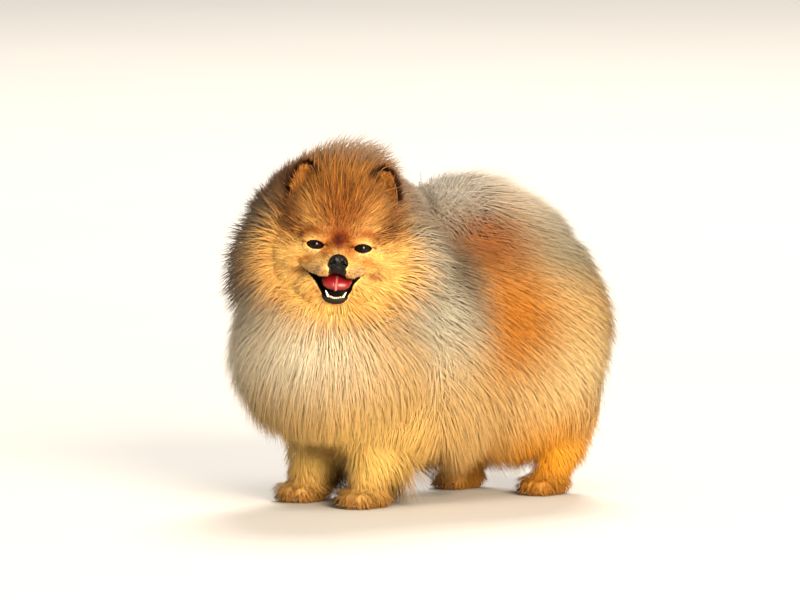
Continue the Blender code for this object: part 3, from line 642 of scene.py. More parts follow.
def blend(tone, points, patches):
    for centre, reach, colour, strength in patches:
        share = (strength * weight_of(points, centre, reach))[:, None]
        tone = tone * (1 - share) + np.array(colour) * share
    return tone


def cover(tone, share, colour):
    return tone * (1 - share[:, None]) + np.array(colour) * share[:, None]


def coat_tone(points):
    """The colour of the coat at points of the model."""
    body, place = points - SHIFT, to_head(points)
    tone = blend(np.tile(BASE_COAT, (len(points), 1)), body, BODY_PATCHES[:BEHIND_MANE])
    mane = smooth_step(-ruff_border(body), -0.01, 0.02) * smooth_step(body[:, 2], 0.120, 0.170)
    tone = cover(tone, mane, MANE_COAT_AND_SHADE)
    tone = blend(tone, body, BODY_PATCHES[BEHIND_MANE:])
    tone = cover(tone, face_zone(place), FACE_COAT)
    return blend(tone, place, HEAD_PATCHES)


def ruff_border(body):
    """How far each point lies behind the line where the ruff ends at the shoulders."""
    reach = np.hypot(body[:, 0], body[:, 2] - 0.141)
    line = np.interp(reach, (0, 0.030, 0.058, 0.078, 0.098, 0.125), (-0.058, -0.050, -0.040, -0.024, 0.020, 0.046))
    return body[:, 1] - line


def tip_share(points):
    """How dark the tips of the hairs are at points of the model."""
    body, place = points - SHIFT, to_head(points)
    share = np.full(len(points), 0.05)
    for centre, reach, strength in BODY_TIPS:
        share = np.maximum(share, strength * weight_of(body, centre, reach))
    for centre, reach, strength in HEAD_TIPS:
        share = np.maximum(share, strength * weight_of(place, centre, reach))
    outer = smooth_step(np.hypot(place[:, 0], place[:, 2]), 0.070, 0.095) * smooth_step(body[:, 2], 0.16, 0.21)
    return np.maximum(share, 0.4 * outer * smooth_step(-ruff_border(body), 0.0, 0.03))


def loop_distance(loop, x, z):
    """How far points lie outside a closed loop; inside it the distance is negative."""
    inside = np.zeros(len(x), bool)
    near = np.full(len(x), 1.0)
    for (x0, z0), (x1, z1) in zip(loop, loop[1:] + loop[:1]):
        crosses = (z0 > z) != (z1 > z)
        inside ^= crosses & (x < (x1 - x0) * (z - z0) / (z1 - z0 + 1e-12) + x0)
        along = np.clip(((x - x0) * (x1 - x0) + (z - z0) * (z1 - z0)) / ((x1 - x0)**2 + (z1 - z0)**2), 0, 1)
        near = np.minimum(near, np.hypot(x - x0 - along * (x1 - x0), z - z0 - along * (z1 - z0)))
    return np.where(inside, -near, near)


def lip_zone(points, grow):
    """Where the skin is bare and black: the mouth's inside, its lips and the front of the lower lip."""
    place = to_head(points)
    x, y, z = place.T
    near = (y < 0.024) & (y > -0.032)
    opening = near & (loop_distance(mouth_outline(), x, z) < grow)
    under = near & ((x / (0.0104 + grow)) ** 2 + ((z + 0.0405) / (0.0064 + grow)) ** 2 < 1) & (z < -0.036)
    roof = (y > -0.021) & near & (np.abs(x) < 0.011) & (z < -0.0190) & (z > -0.026)
    return opening | under | roof


def eye_distance(place):
    """How far points of the head lie from the nearer eye's opening, seen from the front."""
    loops = [[(x + side * EYE_APART / 2, z) for x, z in almond(side)] for side in (1, -1)]
    near = np.minimum(*(loop_distance(loop, place[:, 0], place[:, 2]) for loop in loops))
    return np.where(place[:, 1] < 0.006, near, 0.02)


def mouth_distance(place):
    near = loop_distance(mouth_outline(), place[:, 0], place[:, 2])
    return np.where(place[:, 1] < 0.020, near, 0.02)


def eye_zone(points, grow):
    return eye_distance(to_head(points)) < grow


def nose_zone(points, grow):
    place = to_head(points)
    x, y, z = place.T
    pad = (x / (0.0082 + grow)) ** 2 + ((y + 0.0270) / (0.0064 + grow)) ** 2 + ((z + 0.0130) / (0.0072 + grow)) ** 2
    beneath = ((x - NOSE_SIDE) / (0.0070 + grow)) ** 2 + ((z + 0.0205) / (0.0048 + grow)) ** 2
    return (pad < 1) | ((beneath < 1) & (y < -0.016))


LIP_BLACK = np.array(linear(24, 14, 12))


def skin_tone(points):
    # The skin takes the coat's colours, darkened as painted shade for the base of the coat
    tone = coat_tone(points) * 0.85
    bare = lip_zone(points, 0.0007) | eye_zone(points, -0.0004) | nose_zone(points, 0.0006)
    tone[bare] = LIP_BLACK
    return tone


def set_tone(obj, tone):
    """Stores a colour at each point of a mesh."""
    layer = obj.data.color_attributes.new(name="coat_tone", type="FLOAT_COLOR", domain="POINT")
    values = np.ones((len(tone), 4), np.float32)
    values[:, :3] = tone
    layer.data.foreach_set("color", values.ravel())


# Face

def make_eyes():
    for name, node, side in (("left_eyeball", "eye_left", 1), ("right_eyeball", "eye_right", -1)):
        centre = (side * EYE_APART / 2, EYE_SET_BACK, 0)
        ball = lump(centre, [EYE_RADIUS] * 3, segments=48, rings=32)
        cornea = lump((side * (EYE_APART / 2 - 0.0003), EYE_SET_BACK - 0.0030, 0), [EYE_RADIUS * 0.70] * 3,
                      segments=48, rings=32)
        eye = settle(joined([ball, cornea]), "REMESH", mode="VOXEL", voxel_size=0.0003)
        settle(eye, "SMOOTH", factor=0.5, iterations=8)
        shaped(eye, name, eye_paint(name, side))
        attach(eye, "root")
        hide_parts(node)


def make_lids(paint):
    """A dark rim along the edge of each pair of lids, lying on the eyeball."""
    for name, side in (("left_eye_rim", 1), ("right_eye_rim", -1)):
        centre = Vector((side * EYE_APART / 2, EYE_SET_BACK, 0))
        reach = EYE_RADIUS + 0.0005
        loop = []
        for x, z in almond(side, 1.03, 40):
            forward = math.sqrt(max(reach**2 - x**2 - z**2, 0.0))
            loop.append(HEAD_FRAME @ (centre + Vector((x, -forward, z))))
        curve = bpy.data.curves.new(name, "CURVE")
        curve.dimensions = "3D"
        curve.bevel_depth = 0.00055
        curve.bevel_resolution = 3
        line = curve.splines.new("POLY")
        line.points.add(len(loop) - 1)
        for point, place in zip(line.points, loop):
            point.co = (*place, 1)
        line.use_cyclic_u = True
        rim = bpy.data.objects.new(name, curve)
        bpy.context.scene.collection.objects.link(rim)
        lone(rim)
        bpy.ops.object.convert(target="MESH")
        rim = shaped(bpy.context.object, name, paint)
        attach(rim, "root")


NOSE_SIDE = 0.0007  # the nose and the mouth lie a little to the dog's left


def make_nose(paint):
    """The pad, broad above and narrow below, with its wings, nostrils and groove."""
    pieces = [
        lump((NOSE_SIDE, -0.0268, -0.0118), (0.0076, 0.0062, 0.0060)),
        lump((NOSE_SIDE, -0.0262, -0.0160), (0.0054, 0.0054, 0.0060)),
    ]
    for side in (1, -1):
        pieces.append(lump((NOSE_SIDE + side * 0.0050, -0.0282, -0.0132), (0.0034, 0.0046, 0.0044)))
        pieces.append(lump((NOSE_SIDE + side * 0.0024, -0.0302, -0.0106), (0.0030, 0.0030, 0.0032)))
    nose = settle(joined(pieces), "REMESH", mode="VOXEL", voxel_size=0.0005)
    settle(nose, "SMOOTH", factor=0.5, iterations=5)
    cutters = [lump((NOSE_SIDE, -0.0337, -0.0166), (0.00045, 0.0030, 0.0050), segments=16, rings=8)]
    for side in (1, -1):
        cutters.append(lump((NOSE_SIDE + side * 0.0037, -0.0330, -0.0128), (0.0016, 0.0036, 0.0018), (0, side * 20, 0),
                            segments=20, rings=10))
        cutters.append(lump((NOSE_SIDE + side * 0.0061, -0.0310, -0.0142), (0.0020, 0.0030, 0.0007), (0, side * 24, 0),
                            segments=20, rings=10))
    carve(nose, cutters)
    settle(nose, "REMESH", mode="VOXEL", voxel_size=0.00034)
    settle(nose, "SMOOTH", factor=0.5, iterations=3)
    shaped(nose, "nose_leather", paint)
    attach(nose, "root")
    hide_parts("nose")


def make_tongue(paint):
    """A broad tongue that bends down behind the lower teeth, with a groove along its middle."""
    pieces = [
        lump((NOSE_SIDE, 0.004, -0.0265), (0.0115, 0.0150, 0.0045), (-6, 0, 0)),
        lump((NOSE_SIDE, -0.0090, -0.0280), (0.0128, 0.0100, 0.0054), (20, 0, 0)),
        lump((NOSE_SIDE, -0.0150, -0.0305), (0.0116, 0.0062, 0.0044), (48, 0, 0)),
    ]
    tongue = settle(joined(pieces), "REMESH", mode="VOXEL", voxel_size=0.0006)
    settle(tongue, "SMOOTH", factor=0.5, iterations=10)
    place = to_head(points_of(tongue))
    upper = smooth_step(-place[:, 1] * 0.6 + place[:, 2], -0.034, -0.024)
    dip = 0.0010 * np.exp(-(place[:, 0] / 0.0009) ** 2) * upper
    place[:, 2] -= dip
    place[:, 1] += dip
    move_points(tongue, from_head(place))
    shaped(tongue, "tongue_wet", paint)
    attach(tongue, "root")
    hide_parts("tongue")


def make_teeth(paint):
    """Six lower incisors and the two lower canines, which lean outwards."""
    teeth = []
    for i in range(6):
        along = (i - 2.5) / 2.5
        foot = Vector((NOSE_SIDE + 0.0038 * along, -0.0142 + 0.0022 * along**2, -0.0436 + 0.0009 * along**2))
        teeth.append(spike(foot, foot + Vector((0.0002 * along, -0.0004, 0.0020)), (0.0008, 0.0006)))
    for side in (1, -1):
        teeth.append(spike((NOSE_SIDE + side * 0.0058, -0.0122, -0.0420), (NOSE_SIDE + side * 0.0086, -0.0136, -0.0366), (0.0013, 0.0004)))
    made = settle(joined(teeth), "BEVEL", width=0.0003, segments=2, limit_method="ANGLE")
    shaped(made, "lower_teeth", paint)
    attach(made, "root")


EAR_HEIGHT = 0.031
EAR_HALF_WIDTH = 0.0152
EAR_WALL = 0.0014


def ear_point(side, rise, across):
    """A point of the ear's cup: rise from base to tip, across from -1 to 1 round its open front."""
    base = np.array((side * 0.0290, 0.026, 0.034))
    up = np.array((side * 0.12, -0.05, 1.0))
    up /= np.linalg.norm(up)
    spread = EAR_HALF_WIDTH * (1 - 0.80 * rise[:, None] ** 2.2)
    angle = math.radians(90) + np.radians(104) * across[:, None] + side * 0.35
    ring = np.concatenate([np.cos(angle), 0.75 * np.sin(angle), np.zeros_like(angle)], axis=1)
    return base + up * (EAR_HEIGHT * rise[:, None]) + ring * spread


def ear_outward(side, rise, across):
    """The direction out of the ear's back."""
    step = 0.01
    climb = ear_point(side, rise + step, across) - ear_point(side, rise - step, across)
    round_cup = ear_point(side, rise, across + step) - ear_point(side, rise, across - step)
    return unit(np.cross(round_cup, climb))


def make_ears(paint):
    for name, node, side in (("left_ear_cup", "ear_left", 1), ("right_ear_cup", "ear_right", -1)):
        bpy.ops.object.select_all(action="DESELECT")
        bpy.ops.mesh.primitive_grid_add(x_subdivisions=24, y_subdivisions=20, size=2)
        ear = bpy.context.object
        flat = points_of(ear)
        rise = (flat[:, 1] + 1) / 2
        move_points(ear, from_head(ear_point(side, rise, flat[:, 0])))
        settle(ear, "SOLIDIFY", thickness=EAR_WALL, offset=0.0)
        settle(ear, "SUBSURF", levels=1, render_levels=1)
        lone(ear)
        bpy.ops.object.mode_set(mode="EDIT")
        bpy.ops.mesh.select_all(action="SELECT")
        bpy.ops.mesh.normals_make_consistent(inside=False)
        bpy.ops.object.mode_set(mode="OBJECT")
        height = to_head(points_of(ear))[:, 2]
        tone = np.tile(linear(120, 74, 36), (len(height), 1))
        set_tone(ear, cover(tone, smooth_step(height, 0.046, 0.058), linear(92, 58, 34)))
        shaped(ear, name, paint)
        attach(ear, "root")
        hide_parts(node)


def make_claws(paint):
    claws = []
    for name in PAWS:
        for across, toe, size in toe_places(name):
            foot = toe + Vector((0.0003 * across, -0.0062 * size, -0.0012))
            claws.append(spike(foot, foot + Vector((0.0004 * across, -0.0052, -0.0034)), (0.0011, 0.0003), BODY_FRAME))
    made = settle(joined(claws), "BEVEL", width=0.0002, segments=2, limit_method="ANGLE")
    shaped(made, "claws", paint)
    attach(made, "root")


# Coat

def scatter(surface, count):
    """Roots spread evenly over a mesh: their points and smooth normals."""
    mesh = surface.data
    mesh.calc_loop_triangles()
    corners = np.empty(len(mesh.loop_triangles) * 3, np.int32)
    mesh.loop_triangles.foreach_get("vertices", corners)
    corners = corners.reshape(-1, 3)
    co = points_of(surface)
    bend = np.empty(len(mesh.vertices) * 3, np.float32)
    mesh.vertex_normals.foreach_get("vector", bend)
    bend = bend.reshape(-1, 3)
    a, b, c = (co[corners[:, i]] for i in range(3))
    area = np.linalg.norm(np.cross(b - a, c - a), axis=1)
    steps = (np.arange(count) + rng.random(count)) / count
    chosen = np.searchsorted(np.cumsum(area) / area.sum(), steps).clip(0, len(corners) - 1)
    first = np.sqrt(rng.random(count))
    second = rng.random(count)
    shares = np.stack([1 - first, first * (1 - second), first * second], axis=1)[:, :, None]
    roots = (co[corners[chosen]] * shares).sum(1)
    normals = unit((bend[corners[chosen]] * shares).sum(1))
    return roots, normals


def ripple(points, size, seed):
    """Smooth random values near -1 to 1 that vary over lengths of about size."""
    waves = np.random.default_rng(seed)
    total = np.zeros(len(points))
    for _ in range(9):
        way = unit(waves.normal(size=3)) * 2 * math.pi / (size * waves.uniform(0.7, 1.4))
        total += np.cos(points @ way + waves.uniform(0, 6.3))
    return total / 3


def flesh_normal(points, forms, sharpness=12):
    """The outward direction round a few ellipsoids of the body, blended where they meet."""
    total = np.zeros_like(points)
    fits = []
    for centre, radii, turn in forms:
        tilt = np.array(Euler([math.radians(a) for a in turn]).to_matrix())
        local = (points - SHIFT - np.array(centre)) @ tilt / np.array(radii)
        reach = np.linalg.norm(local, axis=1)
        fits.append((reach, unit((local / np.array(radii)) @ tilt.T)))
    least = np.min([reach for reach, _ in fits], axis=0)
    for reach, outward in fits:
        total += np.exp(-sharpness * (reach - least))[:, None] * outward
    return unit(total)


class Style:
    """How one part of the coat grows: tuft width, how steeply it leaves the skin and ends, its droop and its spread."""

    def __init__(self, width, lift, end_lift, droop, spread):
        self.width = width
        self.lift = np.radians(lift)
        self.end_lift = np.radians(end_lift)
        self.droop = droop
        self.spread = math.radians(spread)


BEND = 0.45  # where along its length a tuft bends and is widest
TUFT_THICKNESS = 0.14  # of its width


def grow(roots, normals, lie_at, normal_at, lengths, style):
    """The root, the bend and the tip of each tuft."""
    count = len(roots)
    swing = style.spread * (0.35 * ripple(roots, 0.014, 21) + 0.85 * rng.normal(0, 1, count))[:, None]
    rise = 0.5 * style.spread * rng.normal(0, 1, count)
    fall = 1 + 10 * np.maximum(0, -normals[:, 2])
    points = [roots - normals * 0.0008]
    here = roots
    for share, part in ((0, BEND), (1, 1 - BEND)):
        outward = normals if share == 0 else normal_at(here, normals)
        along = lie_at(here)
        along = unit(along - outward * (along * outward).sum(1)[:, None])
        along = along * np.cos(swing) + np.cross(outward, along) * np.sin(swing)
        lift = style.lift + (style.end_lift - style.lift) * share + rise
        heading = along * np.cos(lift)[:, None] + outward * np.sin(lift)[:, None]
        heading[:, 2] -= style.droop * (0.4 + share) * fall
        here = here + unit(heading) * (lengths * part)[:, None]
        points.append(here)
    return np.stack(points, axis=1)


def tuft_mesh(name, line, normals, shading, widths, tones, unwrap):
    """Closed tapered tufts, widest at the bend, as one mesh with tones and the OFBake map."""
    count = len(line)
    root, bend, tip = line[:, 0], line[:, 1], line[:, 2]
    side = unit(np.cross(tip - root, normals))
    ridge = unit(np.cross(side, tip - root))
    ridge *= np.sign((ridge * normals).sum(1))[:, None]
    half = side * (widths / 2)[:, None]
    verts = np.stack([root, bend - half, bend + ridge * (widths * TUFT_THICKNESS)[:, None], bend + half, tip], axis=1)
    slots = [(0, 2, 1), (0, 3, 2), (0, 1, 3), (1, 2, 4), (2, 3, 4), (3, 1, 4)]
    a, b, c = (verts[0, i] for i in slots[3])
    if np.dot(np.cross(b - a, c - a), a - verts[0, 3]) < 0:
        slots = [(a, c, b) for a, b, c in slots]
    faces = (np.array(slots)[None] + 5 * np.arange(count)[:, None, None]).reshape(-1, 3)
    verts = verts.reshape(-1, 3)
    verts[:, 2] = np.maximum(verts[:, 2], 0.0004)
    mesh = bpy.data.meshes.new(name)
    mesh.vertices.add(len(verts))
    mesh.vertices.foreach_set("co", verts.astype(np.float32).ravel())
    mesh.loops.add(faces.size)
    mesh.loops.foreach_set("vertex_index", faces.astype(np.int32).ravel())
    mesh.polygons.add(len(faces))
    mesh.polygons.foreach_set("loop_start", np.arange(0, faces.size, 3, dtype=np.int32))
    mesh.update(calc_edges=True)
    obj = bpy.data.objects.new(name, mesh)
    bpy.context.scene.collection.objects.link(obj)
    set_tone(obj, tones.reshape(-1, 3))
    mesh.shade_smooth()
    map_tufts(mesh, faces, unwrap)
    soften(mesh, shading)
    return obj


PATCH = 0.003


def map_tufts(mesh, faces, unwrap):
    """Gives each tuft a small patch of the OFBake map at its root's place."""
    local = np.array(((0.5, 0), (0, 0.45), (0.5, 0.52), (1, 0.45), (0.5, 1)))
    spots = (unwrap[:, None, :] * (1 - PATCH) + local[None] * PATCH).reshape(-1, 2)
    layer = mesh.uv_layers.new(name="OFBake")
    layer.data.foreach_set("uv", spots[faces.ravel()].astype(np.float32).ravel())


SOFTNESS = 0.97


def facing(points):
    """The way the coat's surface faces: outward, sideways where hair hangs, and to the front round the face."""
    normals = flesh_normal(points, RUFF_FLESH + TORSO_FLESH + TAIL_FLESH, 5)
    normals[:, 2] *= np.where(normals[:, 2] < 0, 0.35, 1.0)
    front = -HEAD_AXES[:, 1]
    share = smooth_step(normals @ front, -0.45, 0.15) * smooth_step(-ruff_border(points - SHIFT), 0.0, 0.03)
    place = to_head(points)
    share *= smooth_step(-np.hypot(place[:, 0], 0.8 * place[:, 2]), -0.085, -0.050)
    return unit(normals + 1.1 * share[:, None] * front)


def soften(mesh, normals):
    """Turns the shading of each tuft part of the way to the skin's, as a dense coat scatters light."""
    own = np.empty(len(mesh.vertices) * 3, np.float32)
    mesh.vertex_normals.foreach_get("vector", own)
    blended = unit(own.reshape(-1, 3) * (1 - SOFTNESS) + normals.reshape(-1, 3) * SOFTNESS)
    mesh.normals_split_custom_set_from_vertices(blended.astype(np.float32))


def tuft_tones(line, dark, variety):
    """Colours of each tuft's five points: the marking where it lies, with a dark tip on some."""
    count = len(line)
    reach = np.linalg.norm(line[:, 2] - line[:, 0], axis=1)
    stray = rng.normal(0, 0.08, (count, 3)) * reach[:, None]
    low, high = coat_tone(line[:, 1] + stray), coat_tone(line[:, 2] + stray)
    sable = tip_share(line[:, 1] * 0.5 + line[:, 2] * 0.5)
    high = cover(high, dark * sable * (rng.random(count) < 0.75), TIP_DARK)
    shade = 1 + variety * (0.5 + 2.0 * sable) * rng.normal(0, 0.08, count) + 0.04 * ripple(line[:, 0], 0.006, 8)
    warm = 1 + 0.03 * rng.normal(0, 1, count)
    tones = np.stack([low, low, low, low, high], axis=1)
    tones *= (shade[:, None] * np.stack([np.ones(count), warm, warm**2], axis=1))[:, None]
    return np.clip(tones, 0.002, 0.95)


def round_unwrap(roots, centre, axes=np.eye(3)):
    """The roots' places on the skin unrolled round a centre, as longitude and latitude."""
    local = unit((roots - centre) @ axes)
    return np.stack([
        np.arctan2(local[:, 0], -local[:, 1]) / (2 * math.pi) + 0.5, np.arccos(local[:, 2].clip(-1, 1)) / math.pi,
    ], axis=1).clip(0, 1)


def make_coat(name, roots, normals, lie_at, normal_at, lengths, style, slot, paint, unwrap, long=1.0, dark=1.0,
              variety=1.0):
    line = grow(roots, normals, lie_at, normal_at, lengths, style)
    widths = style.width * rng.uniform(0.8, 1.25, len(roots))
    at_bend, at_tip = (unit(normals + (facing(line[:, i]) - normals) * np.reshape(long, (-1, 1))) for i in (1, 2))
    shading = np.stack([at_bend, at_bend, at_bend, at_bend, at_tip], axis=1)
    coat = tuft_mesh(name, line, normals, shading, widths, tuft_tones(line, dark, variety), unwrap)
    coat.data.materials.append(paint)
    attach(coat, "root")
    return coat


# The lie of the coat

def head_lie(points):
    """Away from the nose over the whole head."""
    place = to_head(points)
    way = unit(place - np.array((0, -0.034, -0.012)))
    for side in (1, -1):
        away = place - np.array((side * EYE_APART / 2, 0.0, 0.0))
        close = np.exp(-(np.linalg.norm(away[:, (0, 2)], axis=1) / 0.0095) ** 2)[:, None]
        way = way * (1 - close) + unit(away * (1, 0.3, 1)) * close
    return way @ HEAD_AXES.T


def ruff_lie(points):
    """Outwards all round the face, back over the neck and down the chest."""
    back = HEAD_AXES @ np.array((0, 1, 0))
    spoke = points - (HEAD_AT + HEAD_AXES @ np.array((0, 0.030, -0.010)))
    spoke -= back * (spoke @ back)[:, None]
    fall = 1 - smooth_step(points[:, 2], 0.100, 0.160)
    way = unit(spoke) + back * 0.35
    way[:, 1] += 0.50 * (1 - fall)
    way[:, 2] += -0.25 - 1.0 * fall
    behind = smooth_step((points - HEAD_AT) @ back, 0.070, 0.110)[:, None]
    rearward = np.stack([4 * (points - SHIFT)[:, 0], np.full(len(points), 0.9), np.full(len(points), -0.5)], axis=1)
    return way * (1 - behind) + unit(rearward) * behind


def torso_lie(points):
    """Back, down and away from the spine."""
    body = points - SHIFT
    fall = 1 - smooth_step(body[:, 2], 0.070, 0.120)
    return np.stack([3 * body[:, 0], 0.85 - 0.4 * fall, -0.60 - 0.5 * fall], axis=1)


def tail_lie(points):
    """Fanned out to both sides over the back and down over the rump."""
    body = points - SHIFT
    rear = smooth_step(body[:, 1], 0.020, 0.105)
    return np.stack([5 * (body[:, 0] - 0.004), 0.35 + 0.75 * rear, -0.10 - 0.5 * rear], axis=1)


def leg_lie(points):
    """Down, and back where the fringe behind a leg hangs."""
    back = 0.15 + 0.55 * smooth_step(points[:, 2], 0.024, 0.050)
    return np.stack([np.zeros(len(points)), back, np.full(len(points), -1.0)], axis=1)


def zone_of(points):
    """Which part of the dog a point of the skin belongs to; neighbouring parts mingle along their border."""
    body, place = points - SHIFT, to_head(points)
    mingle = rng.normal(size=len(points))
    zone = np.where(ruff_border(body) < 0.007 * mingle, "ruff", "torso")
    over = ((body[:, 0] / 0.070) ** 2 + ((body[:, 1] - 0.060) / 0.110) ** 2 < 1) & (body[:, 2] > 0.212 + 0.004 * mingle)
    zone = np.where(over & (zone == "torso"), "tail", zone)
    forward = (place[:, 1] < 0.052) & (np.hypot(place[:, 0] / 0.052, place[:, 2] / 0.066) < 1 + 0.10 * mingle)
    zone = np.where(forward, "head", zone)
    by_leg = np.min([np.hypot(body[:, 0] - paw.x, body[:, 1] - paw.y - 0.010) for paw in PAWS.values()], axis=0)
    zone = np.where((body[:, 2] < 0.074) & (by_leg < 0.031), "leg", zone)
    return np.where(body[:, 2] < 0.022, "paw", zone)


def make_coats(skin, paint):
    spots, turns = scatter(skin, 800000)
    zones = zone_of(spots)
    bare = lip_zone(spots, 0.0007) | eye_zone(spots, 0.0001) | nose_zone(spots, 0.0010)
    body, place = spots - SHIFT, to_head(spots)

    def pick(zone, count, also=True):
        found = np.flatnonzero((zones == zone) & ~bare & also)
        wanted = int(count * DENSITY)
        if wanted > len(found):
            raise ValueError(f"{zone}: {len(found)} roots, {wanted} wanted")
        chosen = rng.permutation(found)[:wanted]
        return spots[chosen], turns[chosen]

    def near_body(forms):
        return lambda here, normals: flesh_normal(here, forms)

    def keep(here, normals):
        return normals

    def coat(name, roots, normals, lie, normal_at, lengths, style, slot, centre, stray=1.12, **tone):
        lengths = lengths * rng.uniform(0.76, 1.06, len(roots)) * np.where(rng.random(len(roots)) < 0.06, stray, 1.0)
        make_coat(name, roots, normals, lie, normal_at, lengths, style, slot, paint,
                  round_unwrap(roots, centre), **tone)

    for name, side in (("coat_ruff_left", body[:, 0] > 0), ("coat_ruff_right", body[:, 0] <= 0)):
        roots, normals = pick("ruff", 32500, side)
        lengths = 0.052 - 0.020 * smooth_step(-normals[:, 2], 0.2, 0.7) * smooth_step(-roots[:, 2], -0.105, -0.080)
        across = (roots - SHIFT) @ (math.cos(VIEW_AZIMUTH), math.sin(VIEW_AZIMUTH), 0)
        lengths -= 0.009 * smooth_step(roots[:, 2], 0.236, 0.258) * smooth_step(-across, 0.040, 0.065)
        lengths -= 0.010 * smooth_step(roots[:, 2], 0.130, 0.170) * smooth_step(-across, 0.060, 0.100)
        lengths -= 0.025 * smooth_step(roots[:, 2], 0.222, 0.242) * smooth_step(-np.abs(across), -0.050, -0.026)
        coat(name, roots, normals, ruff_lie, near_body(RUFF_FLESH), lengths,
             Style(0.0006, 64, 12, 0.05, 9), "ruff_coat", HEAD_AT)
    for name, side in (("coat_body_left", body[:, 0] > 0), ("coat_body_right", body[:, 0] <= 0)):
        roots, normals = pick("torso", 32500, side)
        lengths = 0.049 + 0.008 * smooth_step(-normals[:, 2], 0.2, 0.8)
        lengths -= 0.010 * smooth_step(normals[:, 1], 0.4, 0.8) + 0.008 * smooth_step(normals[:, 2], 0.2, 0.6)
        at = roots - SHIFT
        lengths += 0.030 * np.exp(-((at[:, 1] + 0.040) / 0.040) ** 2) * smooth_step(-normals[:, 2], 0.2, 0.8)
        coat(name, roots, normals, torso_lie, near_body(TORSO_FLESH), lengths,
             Style(0.0006, 62, 12, 0.05, 9), "saddle_coat", SHIFT + np.array((0, 0.04, 0.142)))
    roots, normals = pick("tail", 26000)
    lengths = 0.052 - 0.014 * smooth_step(roots[:, 1], 0.03, 0.09)
    coat("coat_tail", roots, normals, tail_lie, near_body(TAIL_FLESH), lengths,
         Style(0.0006, 58, 12, 0.03, 8), "tail_coat", SHIFT + np.array((0, 0.06, 0.20)), dark=0.4)
    for name, side in (("coat_head_left", place[:, 0] > 0), ("coat_head_right", place[:, 0] <= 0)):
        roots, normals = pick("head", 26000, side)
        at = to_head(roots)
        reach = np.hypot(at[:, 0], at[:, 2] + 0.008)
        lengths = 0.0050 + 0.030 * smooth_step(reach, 0.010, 0.060)
        crown = smooth_step(at[:, 2], 0.040, 0.058) * smooth_step(-at[:, 0], -0.040, -0.015)
        lengths += crown * (0.003 + 0.010 * rng.random(len(roots)) ** 3)
        lengths *= 0.60 + 0.40 * smooth_step(at[:, 1], -0.016, 0.006)
        above = smooth_step(at[:, 2], -0.034, -0.024)
        mouth, eye = mouth_distance(at), eye_distance(at)
        near = np.minimum(eye, mouth + 0.02 * (1 - above))
        lengths = np.minimum(lengths, 0.0010 + 0.0010 * (mouth < eye) + 0.9 * np.maximum(near, 0))
        coat(name, roots, normals, head_lie, keep, lengths,
             Style(0.00055, 26 + 26 * smooth_step(reach, 0.018, 0.050), 22, 0.02, 10), "head_coat", HEAD_AT,
             stray=1.35, long=smooth_step(reach, 0.016, 0.040), variety=6 - 3 * smooth_step(reach, 0.015, 0.050))
    roots, normals = pick("leg", 15000)
    low = roots[:, 2]
    rear = smooth_step(normals[:, 1], 0.0, 0.7)
    fore = smooth_step(-roots[:, 1], -0.02, 0.0)
    lengths = 0.016 + 0.008 * smooth_step(low, 0.02, 0.06)
    lengths += (0.010 + 0.032 * fore) * rear * smooth_step(low, 0.024, 0.05)
    coat("coat_legs", roots, normals, leg_lie, keep, lengths,
         Style(0.0007, 40, 14, 0.0, 9), "leg_coat", SHIFT + np.array((0, 0, 0.05)), long=0.0)
    roots, normals = pick("paw", 7000)
    lengths = 0.0095 + 0.007 * smooth_step(roots[:, 2], 0.008, 0.022)
    coat("coat_paws", roots, normals, leg_lie, keep, lengths,
         Style(0.0006, 34, 8, 0.0, 9), "leg_coat", SHIFT + np.array((0, 0, 0.05)), long=0.0)
    for name, side in (("left", 1), ("right", -1)):
        make_ear_coat("coat_ear_" + name, side, paint)


def make_ear_coat(name, side, paint):
    """Fluffy bright hair in the cup, short brown hair on the back and a dark fringe along the rim."""
    many = int(5000 * DENSITY)
    inner = np.arange(many) < 0.5 * many
    rim = np.arange(many) > 0.90 * many
    rise = rng.uniform(0.0, 0.85, many)
    across = rng.uniform(-0.9, 0.9, many)
    edge = rng.uniform(-1, 1, many)
    rise = np.where(rim, 1 - 0.85 * np.abs(edge) ** 1.4, rise)
    across = np.where(rim, np.sign(edge) * np.minimum(1, 3.0 * np.abs(edge)), across)
    outward = ear_outward(side, rise.clip(0.02, 0.98), across) * np.where(inner, -1, 1)[:, None]
    roots = from_head(ear_point(side, rise, across) + outward * EAR_WALL * 0.3)
    normals = outward @ HEAD_AXES.T

    def lie(points):
        place = to_head(points)
        way = np.stack([0.5 * (place[:, 0] - side * 0.029), np.full(len(place), -0.002), np.full(len(place), 0.02)],
                       axis=1)
        return way @ HEAD_AXES.T

    lengths = np.where(inner, 0.019 - 0.011 * rise, np.where(rim, 0.0072, 0.009)) * rng.uniform(0.6, 1.2, many)
    style = Style(0.0005, 42, 24, 0.0, 26)
    line = grow(roots, normals, lie, lambda here, n: n, lengths, style)
    tone = np.where(inner[:, None], linear(196, 136, 68), linear(96, 58, 30))
    tone = np.where(rim[:, None], linear(84, 52, 32), tone) * rng.uniform(0.4, 1.8, (many, 1))
    tones = np.clip(np.repeat(tone[:, None], 5, axis=1), 0.002, 0.95)
    coat = tuft_mesh(name, line, normals, np.repeat(normals[:, None], 5, axis=1),
                     style.width * rng.uniform(0.6, 1.3, many), tones, round_unwrap(roots, HEAD_AT, HEAD_AXES))
    coat.data.materials.append(paint)
    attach(coat, "root")


# Stage

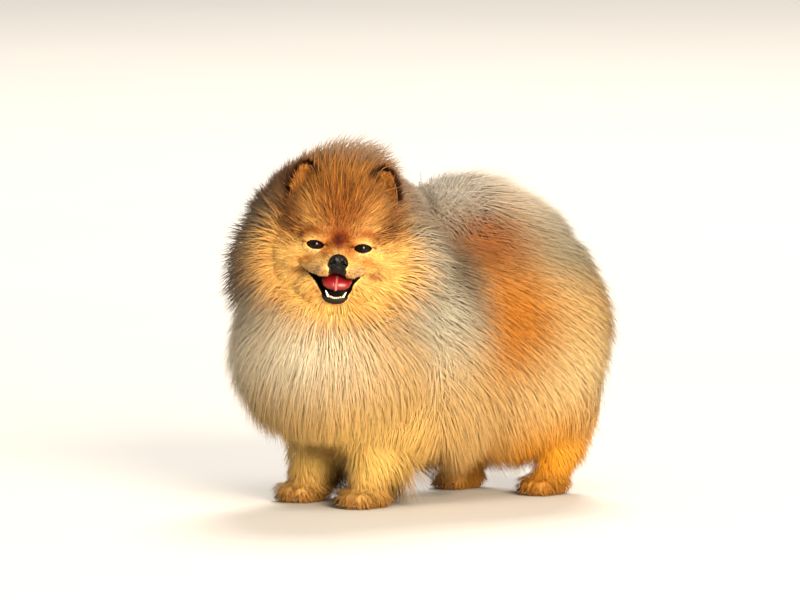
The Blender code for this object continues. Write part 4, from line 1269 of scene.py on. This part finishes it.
def make_camera():
    toward = Vector((
        math.sin(VIEW_AZIMUTH) * math.cos(VIEW_ELEVATION), -math.cos(VIEW_AZIMUTH) * math.cos(VIEW_ELEVATION),
        math.sin(VIEW_ELEVATION),
    ))
    right = Vector((math.cos(VIEW_AZIMUTH), math.sin(VIEW_AZIMUTH), 0))
    up = toward.cross(right)
    middle = (
        HERE + right * (PHOTO_WIDTH / 2 - ORIGIN_PIXEL[0]) / PIXELS_PER_METRE
        + up * (ORIGIN_PIXEL[1] - PHOTO_HEIGHT / 2) / PIXELS_PER_METRE
    )
    lens = bpy.data.cameras.new("camera")
    lens.sensor_width = 36
    lens.lens = 36 * VIEW_DISTANCE / (PHOTO_WIDTH / PIXELS_PER_METRE)
    camera = bpy.data.objects.new("camera", lens)
    bpy.context.scene.collection.objects.link(camera)
    camera.location = middle + toward * VIEW_DISTANCE
    camera.rotation_mode = "QUATERNION"
    camera.rotation_quaternion = toward.to_track_quat("Z", "Y")
    bpy.context.scene.camera = camera


def make_light(name, azimuth, elevation, distance, size, power, colour):
    a, e = math.radians(azimuth), math.radians(elevation)
    way = Vector((math.sin(a) * math.cos(e), -math.cos(a) * math.cos(e), math.sin(e)))
    lamp = bpy.data.lights.new(name, "AREA")
    lamp.shape = "DISK"
    lamp.size = size
    lamp.energy = power
    lamp.color = colour
    light = bpy.data.objects.new(name, lamp)
    bpy.context.scene.collection.objects.link(light)
    light.location = Vector((0, 0, 0.15)) + way * distance
    light.rotation_mode = "QUATERNION"
    light.rotation_quaternion = way.to_track_quat("Z", "Y")


def make_stage():
    bpy.ops.object.select_all(action="DESELECT")
    bpy.ops.mesh.primitive_circle_add(vertices=96, radius=9, fill_type="NGON", location=(0, 0, 0))
    floor = shaped(bpy.context.object, "studio_floor", floor_paint())
    world = bpy.data.worlds.new("studio")
    world.use_nodes = True
    sky = world.node_tree.nodes["Background"]
    sky.inputs["Color"].default_value = (*linear(226, 230, 238), 1)
    sky.inputs["Strength"].default_value = 0.44
    bpy.context.scene.world = world
    make_light("key", 73, 18, 7.0, 3.6, 1310, linear(255, 232, 198))
    make_light("top", 70, 66, 7.0, 4.0, 260, linear(255, 246, 236))
    make_light("rim", 225, 46, 7.0, 3.0, 560, linear(255, 246, 234))
    bpy.context.scene.view_settings.view_transform = "Standard"


def main():
    skin = make_skin(skin_paint())
    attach(skin, "root")
    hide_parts("head", "neck_ruff", "torso", "tail", "lower_jaw", *("leg_" + name for name in PAWS),
                *("paw_" + name for name in PAWS))
    make_eyes()
    make_lids(rim_paint())
    make_nose(nose_paint())
    make_tongue(tongue_paint())
    make_teeth(tooth_paint())
    make_ears(skin_paint())
    make_claws(claw_paint())
    make_coats(skin, coat_paint())
    make_camera()
    make_stage()


main()
